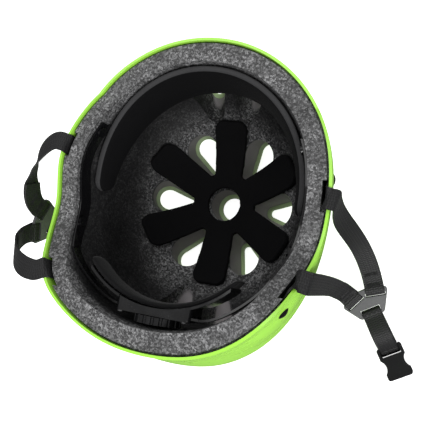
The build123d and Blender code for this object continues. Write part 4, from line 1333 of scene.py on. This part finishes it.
def bar_tack(centre, across, forth):
    """Zigzag thread path of one bar tack."""
    points = []
    for row in range(TACK_ROWS + 1):
        side = 1 if row % 2 else -1
        sideways = across * side * TACK_WIDTH / 2
        points.append(centre + (sideways + forth * TACK_DEPTH * (row / TACK_ROWS - 0.5)) * MM)
    return points


class HELMET_OT_stitches(bpy.types.Operator):
    """Sews each strap's folded end with two bar tacks"""

    bl_idname = "helmet.stitches"
    bl_label = "Stitches"

    def execute(self, context):
        _, sizes, _ = settings()
        tree = stitch_tree()
        inputs = [item for item in tree.interface.items_tree if item.in_out == "INPUT"]
        identifiers = {item.name: item.identifier for item in inputs}
        for place in sides():
            vertices, edges = [], []
            for end in ("front", "rear"):
                centres, acrosses, _ = strap_route(place, end, sizes.webbing_thickness)
                for back in TACK_PLACES:
                    under, over = len(centres) - back, self.twin(centres, back)
                    middle = (centres[under] + centres[over]) / 2
                    for mark in (under, over):
                        centre, across = centres[mark], acrosses[mark]
                        forth = (centres[mark + 1] - centres[mark - 1]).normalized()
                        up = forth.cross(across).normalized()
                        if up.dot(centre - middle) < 0:
                            up = -up
                        lift = sizes.webbing_thickness / 2 + sizes.thread_radius * THREAD_LIFT
                        row = bar_tack(centre + up * lift, across, forth)
                        first = len(vertices)
                        vertices += row
                        edges += [(first + k, first + k + 1) for k in range(len(row) - 1)]
            mesh = bpy.data.meshes.new(f"{place.name}_bar_tacks")
            mesh.from_pydata([tuple(v) for v in vertices], edges, [])
            piece = new_object(f"{place.name}_bar_tacks", mesh)
            nodes = piece.modifiers.new("thread", "NODES")
            nodes.node_group = tree
            nodes[identifiers["Stitch Length"]] = sizes.stitch_length
            nodes[identifiers["Thread Radius"]] = sizes.thread_radius
            nodes[identifiers["Thread"]] = material("sewing_thread")
            apply_modifiers(piece)
            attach(piece, f"{place.name}_straps")
        return {"FINISHED"}

    def twin(self, centres, back):
        """Index of the strap's upper layer beside a point of its sewn end."""
        count, fold = len(centres), int(FOLD_RETURN)
        upper = range(count - 3 * fold, count - fold - TACK_TWIN_MARGIN)
        return min(upper, key=lambda i: (centres[i] - centres[count - back]).length)


class HELMET_OT_stage(bpy.types.Operator):
    """Sets the camera, the pale floor and the soft light"""

    bl_idname = "helmet.stage"
    bl_label = "Stage"

    def execute(self, context):
        _, _, stage = settings()
        scene = context.scene
        scene.view_settings.view_transform = "Standard"
        self.camera(scene, stage)
        self.floor(stage)
        self.world(scene, stage)
        self.lamp("key_lamp", KEY_PLACE, KEY_SIZE, stage.key_power)
        self.lamp("fill_lamp", FILL_PLACE, FILL_SIZE, stage.fill_power)
        return {"FINISHED"}

    def camera(self, scene, stage):
        data = bpy.data.cameras.new("camera")
        data.sensor_width, data.lens = 36.0, stage.lens
        data.clip_start, data.clip_end = 0.01, 20.0
        camera = new_object("camera", data)
        back = -Vector(stage.camera_look).normalized()
        up = Vector(stage.camera_up)
        up = (up - back * up.dot(back)).normalized()
        turn = Matrix((up.cross(back), up, back)).transposed()
        camera.matrix_world = Matrix.Translation(stage.camera_place) @ turn.to_4x4()
        scene.camera = camera

    def floor(self, stage):
        """A pale floor that shows white to the camera and keeps a soft shadow."""
        made = bpy.data.materials.new("pale_floor")
        made.use_nodes = True
        made.node_tree.nodes.clear()
        graph = Graph(made.node_tree)
        seen, mirrored = self.ray_shares(graph)
        mirror_colour = (*[stage.floor_mirror] * 3, 1)
        matt_colour = graph.mix(mirrored, (0.85, 0.85, 0.85, 1), mirror_colour)
        matt = graph.add("ShaderNodeBsdfDiffuse", {"Color": matt_colour}).outputs[0]
        strength = graph.math("MULTIPLY", seen, FLOOR_GLOW)
        glow = graph.add("ShaderNodeEmission", {"Strength": strength}).outputs[0]
        both = graph.add("ShaderNodeAddShader", {0: matt, 1: glow}).outputs[0]
        graph.add("ShaderNodeOutputMaterial", {"Surface": both})
        half, level = stage.floor_half, FLOOR_LEVEL
        mesh = bpy.data.meshes.new("floor")
        corners = [
            (-half, -half, level), (half, -half, level), (half, half, level), (-half, half, level)
        ]
        mesh.from_pydata(corners, [], [(0, 1, 2, 3)])
        mesh.materials.append(made)
        floor = new_object("floor", mesh)

    def ray_shares(self, graph):
        """1 for what the camera sees, straight or through glass, and 1 for what gloss mirrors."""
        path = graph.add("ShaderNodeLightPath").outputs
        seen = graph.math("MAXIMUM", path["Is Camera Ray"], path["Is Transmission Ray"])
        return seen, path["Is Glossy Ray"]

    def world(self, scene, stage):
        """Even light from all round, which shows white to the camera."""
        world = bpy.data.worlds.new("soft_room")
        world.use_nodes = True
        world.node_tree.nodes.clear()
        graph = Graph(world.node_tree)
        seen, mirrored = self.ray_shares(graph)
        direct = graph.remap(seen, 0.0, 1.0, stage.world_level, 1.0, "LINEAR")
        mirror = graph.remap(mirrored, 0.0, 1.0, 1.0, stage.room_mirror, "LINEAR")
        level = graph.math("MULTIPLY", direct, mirror)
        room = graph.add("ShaderNodeBackground", {"Color": (1, 1, 1, 1), "Strength": level})
        graph.add("ShaderNodeOutputWorld", {"Surface": room.outputs[0]})
        scene.world = world

    def lamp(self, name, place, size, power):
        data = bpy.data.lights.new(name, "AREA")
        data.shape, data.size, data.energy = "DISK", size, power
        lamp = new_object(name, data)
        lamp.location = place
        lamp.rotation_mode = "QUATERNION"
        lamp.rotation_quaternion = Vector(place).to_track_quat("Z", "Y")


class HELMET_PT_looks(bpy.types.Panel):
    """Lists the helmet's sizes, colours and steps"""

    bl_idname = "HELMET_PT_looks"
    bl_label = "Helmet"
    bl_space_type = "VIEW_3D"
    bl_region_type = "UI"
    bl_category = "Helmet"

    def draw(self, context):
        for owner in settings():
            for name in owner.bl_rna.properties.keys():
                if name not in ("rna_type", "name"):
                    self.layout.prop(owner, name)
        for step in STEPS:
            self.layout.operator(step.bl_idname)


STEPS = (
    HELMET_OT_stage,
    HELMET_OT_finishes,
    HELMET_OT_crown_pad,
    HELMET_OT_brow_pad,
    HELMET_OT_cradle_lining,
    HELMET_OT_straps,
    HELMET_OT_chin_loops,
    HELMET_OT_stitches,
)
CLASSES = (HelmetFinish, HelmetSizes, HelmetStage, *STEPS, HELMET_PT_looks)


def register():
    for cls in CLASSES:
        bpy.utils.register_class(cls)
    bpy.types.Scene.helmet_finish = PointerProperty(type=HelmetFinish)
    bpy.types.Scene.helmet_sizes = PointerProperty(type=HelmetSizes)
    bpy.types.Scene.helmet_stage = PointerProperty(type=HelmetStage)


def unregister():
    del bpy.types.Scene.helmet_stage
    del bpy.types.Scene.helmet_sizes
    del bpy.types.Scene.helmet_finish
    for cls in reversed(CLASSES):
        bpy.utils.unregister_class(cls)


def main():
    register()
    bpy.ops.helmet.stage()
    bpy.ops.helmet.finishes()
    bpy.ops.helmet.crown_pad()
    bpy.ops.helmet.brow_pad()
    bpy.ops.helmet.cradle_lining()
    bpy.ops.helmet.straps()
    bpy.ops.helmet.chin_loops()
    bpy.ops.helmet.stitches()


if __name__ == "__main__":
    main()
